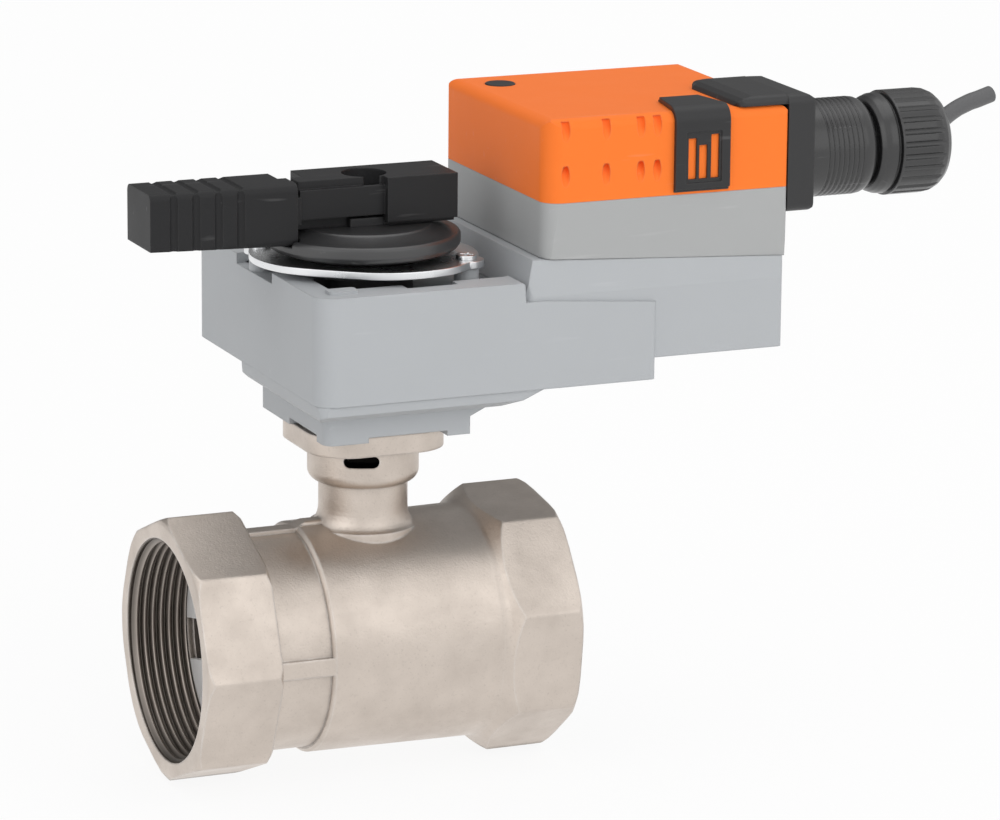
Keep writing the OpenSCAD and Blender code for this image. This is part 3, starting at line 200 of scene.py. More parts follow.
class ValveFinishes(bpy.types.PropertyGroup):
    """Base colours of the finishes."""

    nickel: colour("Nickel", "Nickel plate on the cast and turned brass", (0.65, 0.575, 0.512))
    zinc: colour("Zinc", "Zinc plate on the ring and the screws", (0.84, 0.85, 0.86))
    steel: colour("Steel", "Polished steel of the ball, stem and axles", (0.66, 0.66, 0.66))
    housing: colour("Housing", "Grey moulded plastic of the foot and the lower housing", (0.45, 0.467, 0.484))
    middle: colour("Middle housing", "Grey moulded plastic under the cover", (0.41, 0.417, 0.417))
    cover: colour("Cover", "Orange moulded plastic of the cover", (1.0, 0.215, 0.035))
    black: colour("Black parts", "Black moulded plastic", (0.020, 0.020, 0.021))
    rubber: colour("Rubber", "Cable sheath and seals", (0.08, 0.08, 0.083))
    polymer: colour("White polymer", "Polymer of the seats and washers", (0.80, 0.79, 0.75))
    acetal: colour("Gear plastic", "Natural plastic of the gears", (0.78, 0.75, 0.66))
    bronze: colour("Bronze", "Bush and motor pinion", (0.62, 0.42, 0.20))
    board: colour("Circuit board", "Solder mask of the board", (0.02, 0.13, 0.05))
    terminal: colour("Terminals", "Moulded body of the terminals", (0.42, 0.43, 0.44))


class ValveEdges(bpy.types.PropertyGroup):
    """Radii that moulding, turning and pressing leave on the edges of the small parts."""

    moulded: length("Moulded edge", "Radius on the dial and the hub", 0.3 * MM)
    crisp: length("Crisp edge", "Radius on the clip and the button", 0.2 * MM)
    pressed: length("Pressed edge", "Radius on the ring and the seat retainer", 0.25 * MM)
    fine: length("Fine edge", "Radius on the gland's ribs and the screws", 0.12 * MM)
    steps: IntProperty(name="Steps", description="Faces across a rounded edge", default=3, min=1, max=6)


class ValveThreads(bpy.types.PropertyGroup):
    """The pipe threads in both ends."""

    pitch: length("Pitch", "Distance from turn to turn", 2.309 * MM)
    depth: length("Depth", "Height of a turn", 1.35 * MM)
    inlet: length("Inlet length", "Length of the inlet thread", 16.5 * MM)
    outlet: length("Outlet length", "Length of the outlet thread", 17 * MM)
    root: length("Root radius", "Radius at the bottom of the thread", 29.8 * MM)
    steps: IntProperty(name="Steps", description="Rows of faces to a turn", default=18, min=8, max=32)
    around: IntProperty(name="Around", description="Faces round the bore", default=144, min=48)


class ValveCable(bpy.types.PropertyGroup):
    """The cable at the gland."""

    diameter: length("Diameter", "Outside diameter of the sheath", 4.6 * MM)
    steps: IntProperty(name="Steps", description="Points from one of the route to the next", default=4, min=1)
    around: IntProperty(name="Around", description="Faces round the sheath", default=20, min=4, step=2)


class ValveCoil(bpy.types.PropertyGroup):
    """The spring under the release button."""

    wire: length("Wire", "Thickness of the wire", 0.6 * MM)
    turns: IntProperty(name="Turns", description="Turns of the wire", default=6, min=2)
    steps: IntProperty(name="Steps", description="Sections to a turn", default=32, min=8)
    around: IntProperty(name="Around", description="Faces round the wire", default=12, min=6)


class ValveStage(bpy.types.PropertyGroup):
    """Floor, lamps and world."""

    floor: colour("Floor", "Colour of the floor", (0.90, 0.90, 0.90))
    floor_size: length("Floor size", "Side of the floor", 30.0)
    clear: length("Gap", "Gap between the floor and the part", 0.3 * MM)
    whiten: FloatProperty(
        name="Whiten", description="How far the floor goes to white for the eye", default=0.9,
        min=0, max=1, subtype="FACTOR"
    )
    key: FloatProperty(name="Key", description="Power of the lamp in front", default=17, unit="POWER")
    sheen: FloatProperty(
        name="Sheen", description="Power of the lamp in front that metal mirrors", default=2.5, unit="POWER"
    )
    fill: FloatProperty(name="Fill", description="Power of the lamp on the left", default=6, unit="POWER")
    top: FloatProperty(name="Top", description="Power of the lamp overhead", default=6, unit="POWER")
    rear: FloatProperty(name="Rear", description="Power of the lamp behind", default=7, unit="POWER")
    sky: FloatProperty(name="Sky", description="Strength of the world's light", default=0.6, min=0)
    backdrop: FloatProperty(
        name="Backdrop", description="Strength that metal mirrors behind the part", default=0.2, min=0
    )


# Meshes

def grid_faces(rows, columns, wrap_rows, wrap_columns):
    """Quads between neighbours of a grid of points that is numbered row by row."""
    i, j = np.meshgrid(
        np.arange(rows if wrap_rows else rows - 1),
        np.arange(columns if wrap_columns else columns - 1),
        indexing="ij",
    )
    down = (i + 1) % rows
    right = (j + 1) % columns
    quad = [i * columns + j, i * columns + right, down * columns + right, down * columns + j]
    return np.stack(quad, axis=-1).reshape(-1, 4)


def mesh_of(name, points, faces):
    """A smooth mesh from arrays of points and faces."""
    mesh = bpy.data.meshes.new(name)
    mesh.from_pydata(points.reshape(-1, 3).tolist(), [], faces.tolist())
    mesh.shade_smooth()
    return mesh


def piece(name, mesh, body, material):
    """A new object of the part that rides on a body and takes its finish from a slot."""
    made = bpy.data.objects.new(name, mesh)
    bpy.context.scene.collection.objects.link(made)
    made.data.materials.append(material)
    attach(made, body)
    return made


def body_of_node(node):
    """The body that a CAD node rides on."""
    for body, members in frame["record"]["behaviour"]["bodies"].items():
        if node in members:
            return body
    raise ValueError(f"no body holds {node}")


def weld(mesh, flatten=False):
    """Joins points of a mesh that lie on each other, and where asked, its flat areas to single faces."""
    work = bmesh.new()
    work.from_mesh(mesh)
    bmesh.ops.remove_doubles(work, verts=work.verts, dist=MERGE)
    if flatten:
        bmesh.ops.dissolve_degenerate(work, edges=work.edges, dist=MERGE)
        bmesh.ops.dissolve_limit(work, angle_limit=FLAT, verts=work.verts, edges=work.edges)
    work.to_mesh(mesh)
    work.free()
    return mesh


def rounded(node, radius, material, steps):
    """A stand-in for a CAD node with rounded edges.

    The node's triangles are merged, flat areas are joined to single faces, and every edge that turns
    by more than SHARP gets a bevel of the given radius.
    """
    source = frame["nodes"][node].data
    points = np.empty(3 * len(source.vertices))
    source.vertices.foreach_get("co", points)
    faces = np.empty(len(source.loops), dtype=int)
    source.loops.foreach_get("vertex_index", faces)
    mesh = weld(mesh_of(f"{node}_form", points, faces.reshape(-1, 3)), flatten=True)
    made = piece(f"{node}_shell", mesh, body_of_node(node), material)
    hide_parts(node)
    bevel = made.modifiers.new("edges", "BEVEL")
    bevel.width = radius
    bevel.segments = steps
    bevel.limit_method = "ANGLE"
    bevel.angle_limit = SHARP
    bevel.use_clamp_overlap = False
    normals = made.modifiers.new("normals", "WEIGHTED_NORMAL")
    normals.keep_sharp = True
    normals.weight = FACE_WEIGHT


def finish(node, material):
    """Gives a CAD node that stays as it is its finish."""
    frame["nodes"][node].data.materials[0] = material


# Shader groups

def group(name, inputs, outputs):
    """A new shader node group with float inputs and outputs, and its two end nodes."""
    tree = bpy.data.node_groups.new(name, "ShaderNodeTree")
    for label, default in inputs:
        socket = tree.interface.new_socket(label, in_out="INPUT", socket_type="NodeSocketFloat")
        socket.default_value = default
    for label in outputs:
        tree.interface.new_socket(label, in_out="OUTPUT", socket_type="NodeSocketFloat")
    return tree, tree.nodes.new("NodeGroupInput"), tree.nodes.new("NodeGroupOutput")


def noise(tree, vector, scale, detail=3.0, rough=0.5):
    """A noise texture node; scale is a number, or a socket."""
    node = tree.nodes.new("ShaderNodeTexNoise")
    tree.links.new(vector, node.inputs["Vector"])
    node.inputs["Detail"].default_value = detail
    node.inputs["Roughness"].default_value = rough
    if isinstance(scale, (int, float)):
        node.inputs["Scale"].default_value = scale
    else:
        tree.links.new(scale, node.inputs["Scale"])
    return node.outputs["Fac"]


def math(tree, operation, a, b=0.0, clamp=False):
    """A math node on sockets or numbers."""
    node = tree.nodes.new("ShaderNodeMath")
    node.operation = operation
    node.use_clamp = clamp
    for socket, value in zip(node.inputs, (a, b)):
        if isinstance(value, (int, float)):
            socket.default_value = value
        else:
            tree.links.new(value, socket)
    return node.outputs[0]


def span(tree, value, low, high, out_low=0.0, out_high=1.0):
    """Maps a value from low..high to out_low..out_high, clamped."""
    node = tree.nodes.new("ShaderNodeMapRange")
    tree.links.new(value, node.inputs["Value"])
    numbers = {"From Min": low, "From Max": high, "To Min": out_low, "To Max": out_high}
    for label, number in numbers.items():
        node.inputs[label].default_value = number
    return node.outputs["Result"]


def blend(tree, factor, a, b):
    """Goes from a to b, which are sockets or numbers, as the factor goes from 0 to 1."""
    node = tree.nodes.new("ShaderNodeMix")
    tree.links.new(factor, node.inputs["Factor"])
    for label, value in (("A", a), ("B", b)):
        if isinstance(value, (int, float)):
            node.inputs[label].default_value = value
        else:
            tree.links.new(value, node.inputs[label])
    return node.outputs["Result"]


def object_place(tree):
    """Object coordinates."""
    return tree.nodes.new("ShaderNodeTexCoord").outputs["Object"]


def split_place(tree):
    """Object coordinates one by one."""
    node = tree.nodes.new("ShaderNodeSeparateXYZ")
    tree.links.new(object_place(tree), node.inputs["Vector"])
    return node.outputs


def from_axis(tree, a, b):
    """Distance from an axis, from the two coordinates across it."""
    squares = (math(tree, "MULTIPLY", side, side) for side in (a, b))
    return math(tree, "SQRT", math(tree, "ADD", *squares))


def within(tree, value, low, high):
    """1 between two numbers, and 0 outside them."""
    above = math(tree, "GREATER_THAN", value, low)
    return math(tree, "MULTIPLY", above, math(tree, "LESS_THAN", value, high))


def moulded_skin():
    """Spark-eroded grain of moulded plastic, with a faint cloudiness and handling marks.

    Height is fine noise at the given scale. Cloud is a broad noise, and Marks are sparse short streaks.
    """
    found = bpy.data.node_groups.get("Moulded skin")
    if found:
        return found
    tree, given, out = group("Moulded skin", [("Scale", 2500.0)], ["Height", "Cloud", "Marks"])
    place = object_place(tree)
    fine = noise(tree, place, given.outputs["Scale"], detail=2.0, rough=0.6)
    tree.links.new(fine, out.inputs["Height"])
    tree.links.new(noise(tree, place, CLOUDS, detail=4.0), out.inputs["Cloud"])
    stretch = tree.nodes.new("ShaderNodeMapping")
    stretch.inputs["Rotation"].default_value = MARKS_TURN
    stretch.inputs["Scale"].default_value = MARKS_SCALE
    tree.links.new(place, stretch.inputs["Vector"])
    streak = noise(tree, stretch.outputs["Vector"], 1.0, detail=2.0)
    tree.links.new(span(tree, streak, 0.68, 0.78), out.inputs["Marks"])
    return tree


def cast_skin():
    """Skin of a shot-blasted and plated casting.

    Height adds shallow waves a few millimetres long, times Wave, to dense pits of under a millimetre.
    Tarnish is a broad patchy mask, and Pits is the mask of the deeper pits.
    """
    found = bpy.data.node_groups.get("Cast skin")
    if found:
        return found
    tree, given, out = group(
        "Cast skin", [("Pit Scale", 1400.0), ("Wave", 0.35)], ["Height", "Tarnish", "Pits"]
    )
    place = object_place(tree)
    pits = noise(tree, place, given.outputs["Pit Scale"], detail=4.0, rough=0.62)
    waves = noise(tree, place, CAST_WAVES, detail=2.0)
    raised = math(tree, "MULTIPLY", waves, given.outputs["Wave"])
    tree.links.new(math(tree, "ADD", pits, raised), out.inputs["Height"])
    patches = noise(tree, place, TARNISH, detail=5.0, rough=0.6)
    tree.links.new(span(tree, patches, 0.35, 0.7), out.inputs["Tarnish"])
    tree.links.new(span(tree, pits, 0.42, 0.30), out.inputs["Pits"])
    return tree


def edges_highlit_and_worn():
    """Rounded normal at the edges, and a mask of them that noise breaks up; the mask carries a painted
    highlight, and on plastic also wear.

    The mask comes from the angle between the face and its rounded normal.
    """
    found = bpy.data.node_groups.get("Worn edges")
    if found:
        return found
    tree, given, out = group("Worn edges", [("Radius", 0.4 * MM), ("Strength", 6.0)], ["Mask"])
    tree.interface.new_socket("Normal", in_out="OUTPUT", socket_type="NodeSocketVector")
    rounded_normal = tree.nodes.new("ShaderNodeBevel")
    rounded_normal.samples = 4
    tree.links.new(given.outputs["Radius"], rounded_normal.inputs["Radius"])
    geometry = tree.nodes.new("ShaderNodeNewGeometry")
    turn = tree.nodes.new("ShaderNodeVectorMath")
    turn.operation = "DOT_PRODUCT"
    tree.links.new(rounded_normal.outputs["Normal"], turn.inputs[0])
    tree.links.new(geometry.outputs["Normal"], turn.inputs[1])
    bent = math(tree, "SUBTRACT", 1.0, turn.outputs["Value"])
    strong = math(tree, "MULTIPLY", bent, given.outputs["Strength"], clamp=True)
    broken = span(tree, noise(tree, object_place(tree), EDGE_BREAKS), 0.3, 0.6, out_low=0.35)
    tree.links.new(math(tree, "MULTIPLY", strong, broken), out.inputs["Mask"])
    tree.links.new(rounded_normal.outputs["Normal"], out.inputs["Normal"])
    return tree


def painted_corner_shade():
    """Mask of painted shade in inner corners: how much of the surroundings within a distance is hidden,
    broken by noise.
    """
    found = bpy.data.node_groups.get("Corner grime")
    if found:
        return found
    tree, given, out = group("Corner grime", [("Distance", 3 * MM)], ["Mask"])
    hidden = tree.nodes.new("ShaderNodeAmbientOcclusion")
    hidden.samples = 6
    tree.links.new(given.outputs["Distance"], hidden.inputs["Distance"])
    deep = span(tree, hidden.outputs["AO"], 0.85, 0.45)
    broken = span(tree, noise(tree, object_place(tree), CORNER_SHADE_BREAKS), 0.3, 0.7, out_low=0.5)
    tree.links.new(math(tree, "MULTIPLY", deep, broken), out.inputs["Mask"])
    return tree


def turned_marks():
    """Tool marks of a turned or drawn surface: noise drawn out along the lines, at the given scales."""
    found = bpy.data.node_groups.get("Turned marks")
    if found:
        return found
    tree, given, out = group(
        "Turned marks", [("Scale X", 3000.0), ("Scale Y", 60.0), ("Scale Z", 60.0)], ["Height", "Tone"]
    )
    scales = tree.nodes.new("ShaderNodeCombineXYZ")
    for axis in "XYZ":
        tree.links.new(given.outputs[f"Scale {axis}"], scales.inputs[axis])
    drawn = tree.nodes.new("ShaderNodeVectorMath")
    drawn.operation = "MULTIPLY"
    tree.links.new(object_place(tree), drawn.inputs[0])
    tree.links.new(scales.outputs["Vector"], drawn.inputs[1])
    lines = noise(tree, drawn.outputs["Vector"], 1.0, detail=2.0)
    tree.links.new(lines, out.inputs["Height"])
    tree.links.new(noise(tree, object_place(tree), TOOL_TONE), out.inputs["Tone"])
    return tree


# Materials

class Finish:
    """A material in the making, with its Principled shader."""

    def __init__(self, name, colour_value, roughness, metallic=0.0):
        self.material = bpy.data.materials.new(name)
        self.material.use_nodes = True
        self.tree = self.material.node_tree
        self.shader = self.tree.nodes["Principled BSDF"]
        self.base = (*colour_value, 1.0)
        self.set("Base Color", self.base)
        self.set("Roughness", roughness)
        self.set("Metallic", metallic)

    def set(self, label, value):
        """Sets a socket of the shader."""
        self.shader.inputs[label].default_value = value

    def place_group(self, tree, **values):
        """Places a node group with its own values; an underscore in a name stands for a space."""
        node = self.tree.nodes.new("ShaderNodeGroup")
        node.node_tree = tree
        for label, value in values.items():
            node.inputs[label.replace("_", " ")].default_value = value
        return node

    def tint(self, mask, colour_value, amount):
        """Mixes a colour into the base colour, where the mask is, up to an amount."""
        mix = self.tree.nodes.new("ShaderNodeMix")
        mix.data_type = "RGBA"
        self.tree.links.new(math(self.tree, "MULTIPLY", mask, amount), mix.inputs["Factor"])
        before = self.shader.inputs["Base Color"]
        if before.links:
            self.tree.links.new(before.links[0].from_socket, mix.inputs["A"])
        else:
            mix.inputs["A"].default_value = self.base
        mix.inputs["B"].default_value = (*colour_value, 1.0)
        self.tree.links.new(mix.outputs["Result"], before)

    def vary_roughness(self, mask, low, high):
        """Lets the roughness run from low to high with the mask."""
        self.tree.links.new(span(self.tree, mask, 0.0, 1.0, low, high), self.shader.inputs["Roughness"])

    def bump(self, height, depth, strength=1.0, normal=None):
        """Raises the surface by a height map, over a rounded normal if there is one; depth is in metres."""
        node = self.tree.nodes.new("ShaderNodeBump")
        node.inputs["Strength"].default_value = strength
        node.inputs["Distance"].default_value = depth
        self.tree.links.new(height, node.inputs["Height"])
        if normal:
            self.tree.links.new(normal, node.inputs["Normal"])
        self.tree.links.new(node.outputs["Normal"], self.shader.inputs["Normal"])


def lighter(value, share):
    """A colour moved towards white by a share."""
    return tuple(v + (1 - v) * share for v in value)


def darker(value, share):
    """A colour moved towards black by a share."""
    return tuple(v * (1 - share) for v in value)


def moulded(name, value, roughness, grain=2500.0, depth=0.02 * MM, cloud=0.12, wear=0.25, shine=0.4):
    """Moulded plastic: fine grain, faint clouds, a few marks and rounded edges, paler from wear and a painted
    highlight.
    """
    made = Finish(name, value, roughness)
    made.set("Specular IOR Level", shine)
    skin = made.place_group(moulded_skin(), Scale=grain)
    edges = made.place_group(edges_highlit_and_worn(), Radius=0.5 * MM, Strength=4.0)
    made.tint(skin.outputs["Cloud"], darker(value, 0.25), cloud)
    made.tint(skin.outputs["Marks"], lighter(value, 0.35), 0.15)
    # Paler edges: partly wear, partly a painted highlight
    made.tint(edges.outputs["Mask"], lighter(value, 0.25), wear)
    made.vary_roughness(skin.outputs["Cloud"], roughness - 0.08, roughness + 0.08)
    made.bump(skin.outputs["Height"], depth, normal=edges.outputs["Normal"])
    return made


def leak_windows(tree):
    """Mask of the slots in the collar."""
    place = split_place(tree)
    along = math(tree, "SUBTRACT", place["X"], STEM_X)
    inside = math(tree, "LESS_THAN", from_axis(tree, along, place["Y"]), WINDOW_WALL)
    return math(tree, "MULTIPLY", inside, within(tree, place["Z"], WINDOW_LOW, WINDOW_HIGH))


def retainer_pocket(tree):
    """Mask of what shows through the notches of the ring in the inlet."""
    place = split_place(tree)
    inside = math(tree, "LESS_THAN", from_axis(tree, place["Y"], place["Z"]), POCKET_WALL)
    return math(tree, "MULTIPLY", inside, within(tree, place["X"], POCKET_LOW, POCKET_HIGH))


def thread_groove_shade(tree, root, depth):
    """Mask of painted shade that goes from nothing on the crests to full at the bottom of the grooves of a
    bore along X.
    """
    place = split_place(tree)
    radius = from_axis(tree, place["Y"], place["Z"])
    return span(tree, radius, root - depth * GROOVE_TOP, root - depth * GROOVE_BOTTOM)


def plated_casting(name, value, roughness):
    """Nickel on a blasted casting: pitted and patchy, with a painted highlight along the edges and painted
    shade in the corners, in the collar's slots and behind the ring's notches.
    """
    made = Finish(name, value, roughness, metallic=1.0)
    skin = made.place_group(cast_skin(), Pit_Scale=1500.0, Wave=0.5)
    edges = made.place_group(edges_highlit_and_worn(), Radius=0.9 * MM, Strength=3.5)
    corner_shade = made.place_group(painted_corner_shade(), Distance=3 * MM)
    made.tint(skin.outputs["Tarnish"], darker(value, 0.22), 0.55)
    made.tint(skin.outputs["Pits"], darker(value, 0.5), 0.25)
    # Painted highlight along the edges
    made.tint(edges.outputs["Mask"], lighter(value, 0.6), 0.8)
    # Painted shade in the inner corners
    made.tint(corner_shade.outputs["Mask"], darker(value, 0.75), 0.75)
    made.tint(leak_windows(made.tree), SHADE, 1.0)
    made.tint(retainer_pocket(made.tree), SHADE, 0.9)
    made.vary_roughness(skin.outputs["Tarnish"], roughness - 0.05, roughness + 0.12)
    made.bump(skin.outputs["Height"], 0.12 * MM, strength=0.7, normal=edges.outputs["Normal"])
    return made


def turned_metal(name, value, roughness, scales=(3000.0, 60.0, 60.0)):
    """Plated, turned or drawn metal with lines along its cut, from waves to a metre along X, Y and Z."""
    made = Finish(name, value, roughness, metallic=1.0)
    marks = made.place_group(
        turned_marks(), Scale_X=scales[0], Scale_Y=scales[1], Scale_Z=scales[2]
    )
    made.tint(marks.outputs["Tone"], darker(value, 0.3), 0.35)
    made.vary_roughness(marks.outputs["Tone"], roughness - 0.08, roughness + 0.1)
    made.bump(marks.outputs["Height"], 0.01 * MM)
    return made


def satin_turning(name, value, roughness):
    """Dull turned metal that takes light from all round; its paleness is painted light in the colour that it
    is given.
    """
    made = turned_metal(name, value, roughness)
    made.set("Metallic", 0.15)
    return made


def cut_thread(name, value, roughness, sizes):
    """Turned metal with painted shade in its grooves."""
    made = turned_metal(name, value, roughness)
    # Painted shade towards the bottom of the grooves
    made.tint(thread_groove_shade(made.tree, sizes.root, sizes.depth), darker(value, 0.8), 0.6)
    return made


def soft_polymer(name, value, roughness):
    """Rubber or soft polymer with a dusty, slightly uneven skin."""
    made = Finish(name, value, roughness)
    skin = made.place_group(moulded_skin(), Scale=1800.0)
    made.tint(skin.outputs["Cloud"], lighter(value, 0.08), 0.5)
    made.vary_roughness(skin.outputs["Cloud"], roughness - 0.1, roughness + 0.1)
    made.bump(skin.outputs["Height"], 0.03 * MM)
    return made


def stored(name, recipe, *values, **named_values):
    """The material of that name, which the recipe makes the first time that it is asked for."""
    return bpy.data.materials.get(name) or recipe(name, *values, **named_values).material


def finishes():
    """The user's colours."""
    return bpy.context.scene.valve_finishes


def nickel_casting():
    """Plated castings of the valve body and its end piece."""
    return stored("Nickel casting", plated_casting, finishes().nickel, 0.38)


def retainer_painted_light_nickel():
    """Ring in the inlet, its nickel paled towards white as painted light."""
    # The nickel moved most of the way to white: painted light on a ring that lies in shade
    return stored("Retainer nickel", satin_turning, lighter(finishes().nickel, 0.8), 0.5)


def nickel_thread():
    """Turns of the pipe threads."""
    sizes = bpy.context.scene.valve_threads
    return stored("Nickel thread", cut_thread, darker(finishes().nickel, 0.45), 0.34, sizes)


def zinc_plate():
    """Ring under the dial, and all screws but the motor's."""
    return stored("Zinc plate", turned_metal, finishes().zinc, 0.28, (300.0, 300.0, 900.0))


def polished_steel():
    """Ball, stem, axles, motor with its screws, and the button's spring."""
    return stored("Polished steel", turned_metal, finishes().steel, 0.2, (60.0, 60.0, 2500.0))


def bronze_metal():
    """Bush and motor pinion."""
    return stored("Bronze", turned_metal, finishes().bronze, 0.3)


def housing_plastic():
    """Foot and lower housing."""
    return stored("Housing grey", moulded, finishes().housing, 0.5)


def middle_plastic():
    """Housing under the cover."""
    return stored("Middle grey", moulded, finishes().middle, 0.5)


def cover_plastic():
    """Orange cover, nearly matt."""
    return stored(
        "Cover orange", moulded, finishes().cover, 0.46,
        grain=2200.0, depth=0.015 * MM, cloud=0.1, wear=0.3, shine=0.1,
    )


def black_plastic():
    """Clip, button and hub."""
    return stored("Black plastic", moulded, finishes().black, 0.42, wear=0.15)


def connector_plastic():
    """Housing of the connector."""
    return stored("Connector black", moulded, finishes().black, 0.38, wear=0.15, shine=0.5)


def lever_plastic():
    """Hand lever, duller than the other black parts."""
    return stored("Lever black", moulded, finishes().black, 0.45, wear=0.15, shine=0.2)


def dial_plastic():
    """Dial under the lever."""
    return stored("Dial black", moulded, finishes().black, 0.4, wear=0.15, shine=1.0)


def gland_plastic():
    """Body and nut of the gland, deep black and smooth."""
    return stored(
        "Gland black", moulded, darker(finishes().black, 0.4), 0.24,
        grain=1800.0, depth=0.01 * MM, wear=0.1, shine=0.8,
    )


def sheath_rubber():
    """Sheath of the cable, and the rubber seals."""
    return stored("Sheath", soft_polymer, finishes().rubber, 0.45)


def white_polymer():
    """Seats, thrust washer and the seal of the body."""
    return stored("White polymer", soft_polymer, finishes().polymer, 0.4)


def gear_plastic():
    """Moulded gears."""
    return stored("Gear plastic", moulded, finishes().acetal, 0.35)


def board_mask():
    """Circuit board."""
    return stored("Solder mask", moulded, finishes().board, 0.3, grain=900.0)


def terminal_plastic():
    """Terminal block."""
    return stored("Terminal grey", moulded, finishes().terminal, 0.45)


# Pieces

def thread_points(start, end, mouth, sizes):
    """Closed sleeve with a thread inside.

    The inner radius is root - inset - depth * wave * rise. The wave is a rounded triangle of
    x / pitch - angle / turn, and rise goes from 0 to 1 over the first pitch from the mouth. The outer
    radius is constant.
    """
    rows = int(abs(end - start) / sizes.pitch * sizes.steps)
    x = np.linspace(start, end, rows)
    angle = np.arange(sizes.around) / sizes.around * tau
    x_in, turn = np.meshgrid(x, angle, indexing="ij")
    phase = x_in / sizes.pitch - turn / tau
    wave = 0.5 + 0.5 * np.arcsin(THREAD_POINT * np.cos(tau * phase)) / np.arcsin(THREAD_POINT)
    rise = np.clip(np.abs(x_in - mouth) / sizes.pitch, 0, 1)
    radius_in = sizes.root - ROOT_INSET - sizes.depth * wave * rise
    x_all = np.concatenate([x_in, x_in[::-1]])
    r_all = np.concatenate([radius_in, np.full_like(radius_in, sizes.root + SLEEVE_OUTSET)])
    turn_all = np.concatenate([turn, turn[::-1]])
    points = np.stack([x_all, r_all * np.cos(turn_all), r_all * np.sin(turn_all)], axis=-1)
    return points, grid_faces(*x_all.shape, True, True)


def coil_points(foot, radius, height, sizes):
    """Round wire wound into a coil along +Z, drawn in to a point at both ends.

    At the share t of its way the wire's middle is at radius * (cos, sin) of turns * t turns and at
    height * t over the foot. Its section is a circle square to the way.
    """
    rows = sizes.turns * sizes.steps + 1
    share = np.concatenate([[0], np.linspace(0, 1, rows), [1]])
    thick = np.concatenate([[0], np.full(rows, sizes.wire / 2), [0]])
    turn = tau * sizes.turns * share
    flat = np.zeros_like(turn)
    out = np.stack([np.cos(turn), np.sin(turn), flat], axis=-1)
    around_axis = np.stack([-np.sin(turn), np.cos(turn), flat], axis=-1)
    along = radius * tau * sizes.turns * around_axis + np.array([0, 0, height])
    along /= np.linalg.norm(along, axis=-1, keepdims=True)
    across = np.cross(along, out)
    middle = foot + radius * out + np.stack([flat, flat, height * share], axis=-1)
    side = np.arange(sizes.around)[:, None] / sizes.around * tau
    ring = np.cos(side) * out[:, None] + np.sin(side) * across[:, None]
    points = middle[:, None] + thick[:, None, None] * ring
    return points, grid_faces(rows + 2, sizes.around, False, True)


def smooth_route(points, steps):
    """Points of a Catmull-Rom curve through the given ones.

    Each stretch is the cubic that leaves a point along the line between its neighbours.
    """
    p = np.asarray(points, float)
    ends = np.concatenate([[2 * p[0] - p[1]], p, [2 * p[-1] - p[-2]]])
    a, b, c, d = ends[:-3], ends[1:-2], ends[2:-1], ends[3:]
    t = (np.arange(steps) / steps)[None, :, None]
    a, b, c, d = (q[:, None, :] for q in (a, b, c, d))
    curve = 0.5 * (
        2 * b + (c - a) * t + (2 * a - 5 * b + 4 * c - d) * t**2 + (3 * b - a - 3 * c + d) * t**3
    )
    return np.concatenate([curve.reshape(-1, 3), p[-1:]])


class VALVE_OT_cable(bpy.types.Operator):
    """Lay the cable from the gland."""

    bl_idname = "valve.cable"
    bl_label = "Cable"

    def execute(self, context):
        sizes = context.scene.valve_cable
        start = np.array([SEAL_FACE, GLAND_AXIS[1], GLAND_AXIS[2]])
        route = start + np.array(CABLE_ROUTE) * MM
        line = smooth_route(route, sizes.steps)
        curve = bpy.data.curves.new("cable_line", "CURVE")
        curve.dimensions = "3D"
        curve.bevel_depth = sizes.diameter / 2
        curve.bevel_resolution = sizes.around // 2 - BEVEL_EXTRA
        curve.use_fill_caps = True
        spline = curve.splines.new("POLY")
        spline.points.add(len(line) - 1)
        spline.points.foreach_set("co", np.c_[line, np.ones(len(line))].ravel())
        spline.use_smooth = True
        cable = piece("cable_sheath", curve, "root", sheath_rubber())
        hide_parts("cable")
        return {"FINISHED"}


class VALVE_OT_threads(bpy.types.Operator):
    """Cut the pipe threads in both ends."""

    bl_idname = "valve.threads"
    bl_label = "Pipe threads"

    def execute(self, context):
        sizes = context.scene.valve_threads
        ends = (
            ("inlet_thread_turns", INLET_MOUTH, INLET_MOUTH + sizes.inlet, INLET_MOUTH),
            ("outlet_thread_turns", OUTLET_MOUTH - sizes.outlet, OUTLET_MOUTH, OUTLET_MOUTH),
        )
        for name, start, end, mouth in ends:
            points, faces = thread_points(start + THREAD_MARGIN, end - THREAD_MARGIN, mouth, sizes)
            piece(name, mesh_of(name, points, faces), "root", nickel_thread())
        return {"FINISHED"}


class VALVE_OT_castings(bpy.types.Operator):
    """Finish the valve body, its end piece and the ring inside."""

    bl_idname = "valve.castings"
    bl_label = "Castings"

    def execute(self, context):
        edges = context.scene.valve_edges
        for node in ("valve_body", "end_piece"):
            finish(node, nickel_casting())
        rounded("seat_retainer", edges.pressed, retainer_painted_light_nickel(), edges.steps)
        return {"FINISHED"}


class VALVE_OT_housings(bpy.types.Operator):
    """Finish the grey housings."""

    bl_idname = "valve.housings"
    bl_label = "Housings"

    def execute(self, context):
        for node in ("mounting_base", "lower_housing", "base_plate"):
            finish(node, housing_plastic())
        finish("middle_housing", middle_plastic())
        return {"FINISHED"}


class VALVE_OT_cover(bpy.types.Operator):
    """Finish the orange cover."""

    bl_idname = "valve.cover"
    bl_label = "Cover"

    def execute(self, context):
        finish("cover", cover_plastic())
        return {"FINISHED"}


class VALVE_OT_black_parts(bpy.types.Operator):
    """Round and finish the clip, button, hub and gland body, and finish the gland nut and connector."""

    bl_idname = "valve.black_parts"
    bl_label = "Black parts"

    def execute(self, context):
        edges = context.scene.valve_edges
        for node in ("latch_clip", "release_button"):
            rounded(node, edges.crisp, black_plastic(), edges.steps)
        rounded("drive_hub", edges.moulded, black_plastic(), edges.steps)
        rounded("gland_body", edges.fine, gland_plastic(), edges.steps)
        finish("gland_nut", gland_plastic())
        finish("connector_housing", connector_plastic())
        return {"FINISHED"}


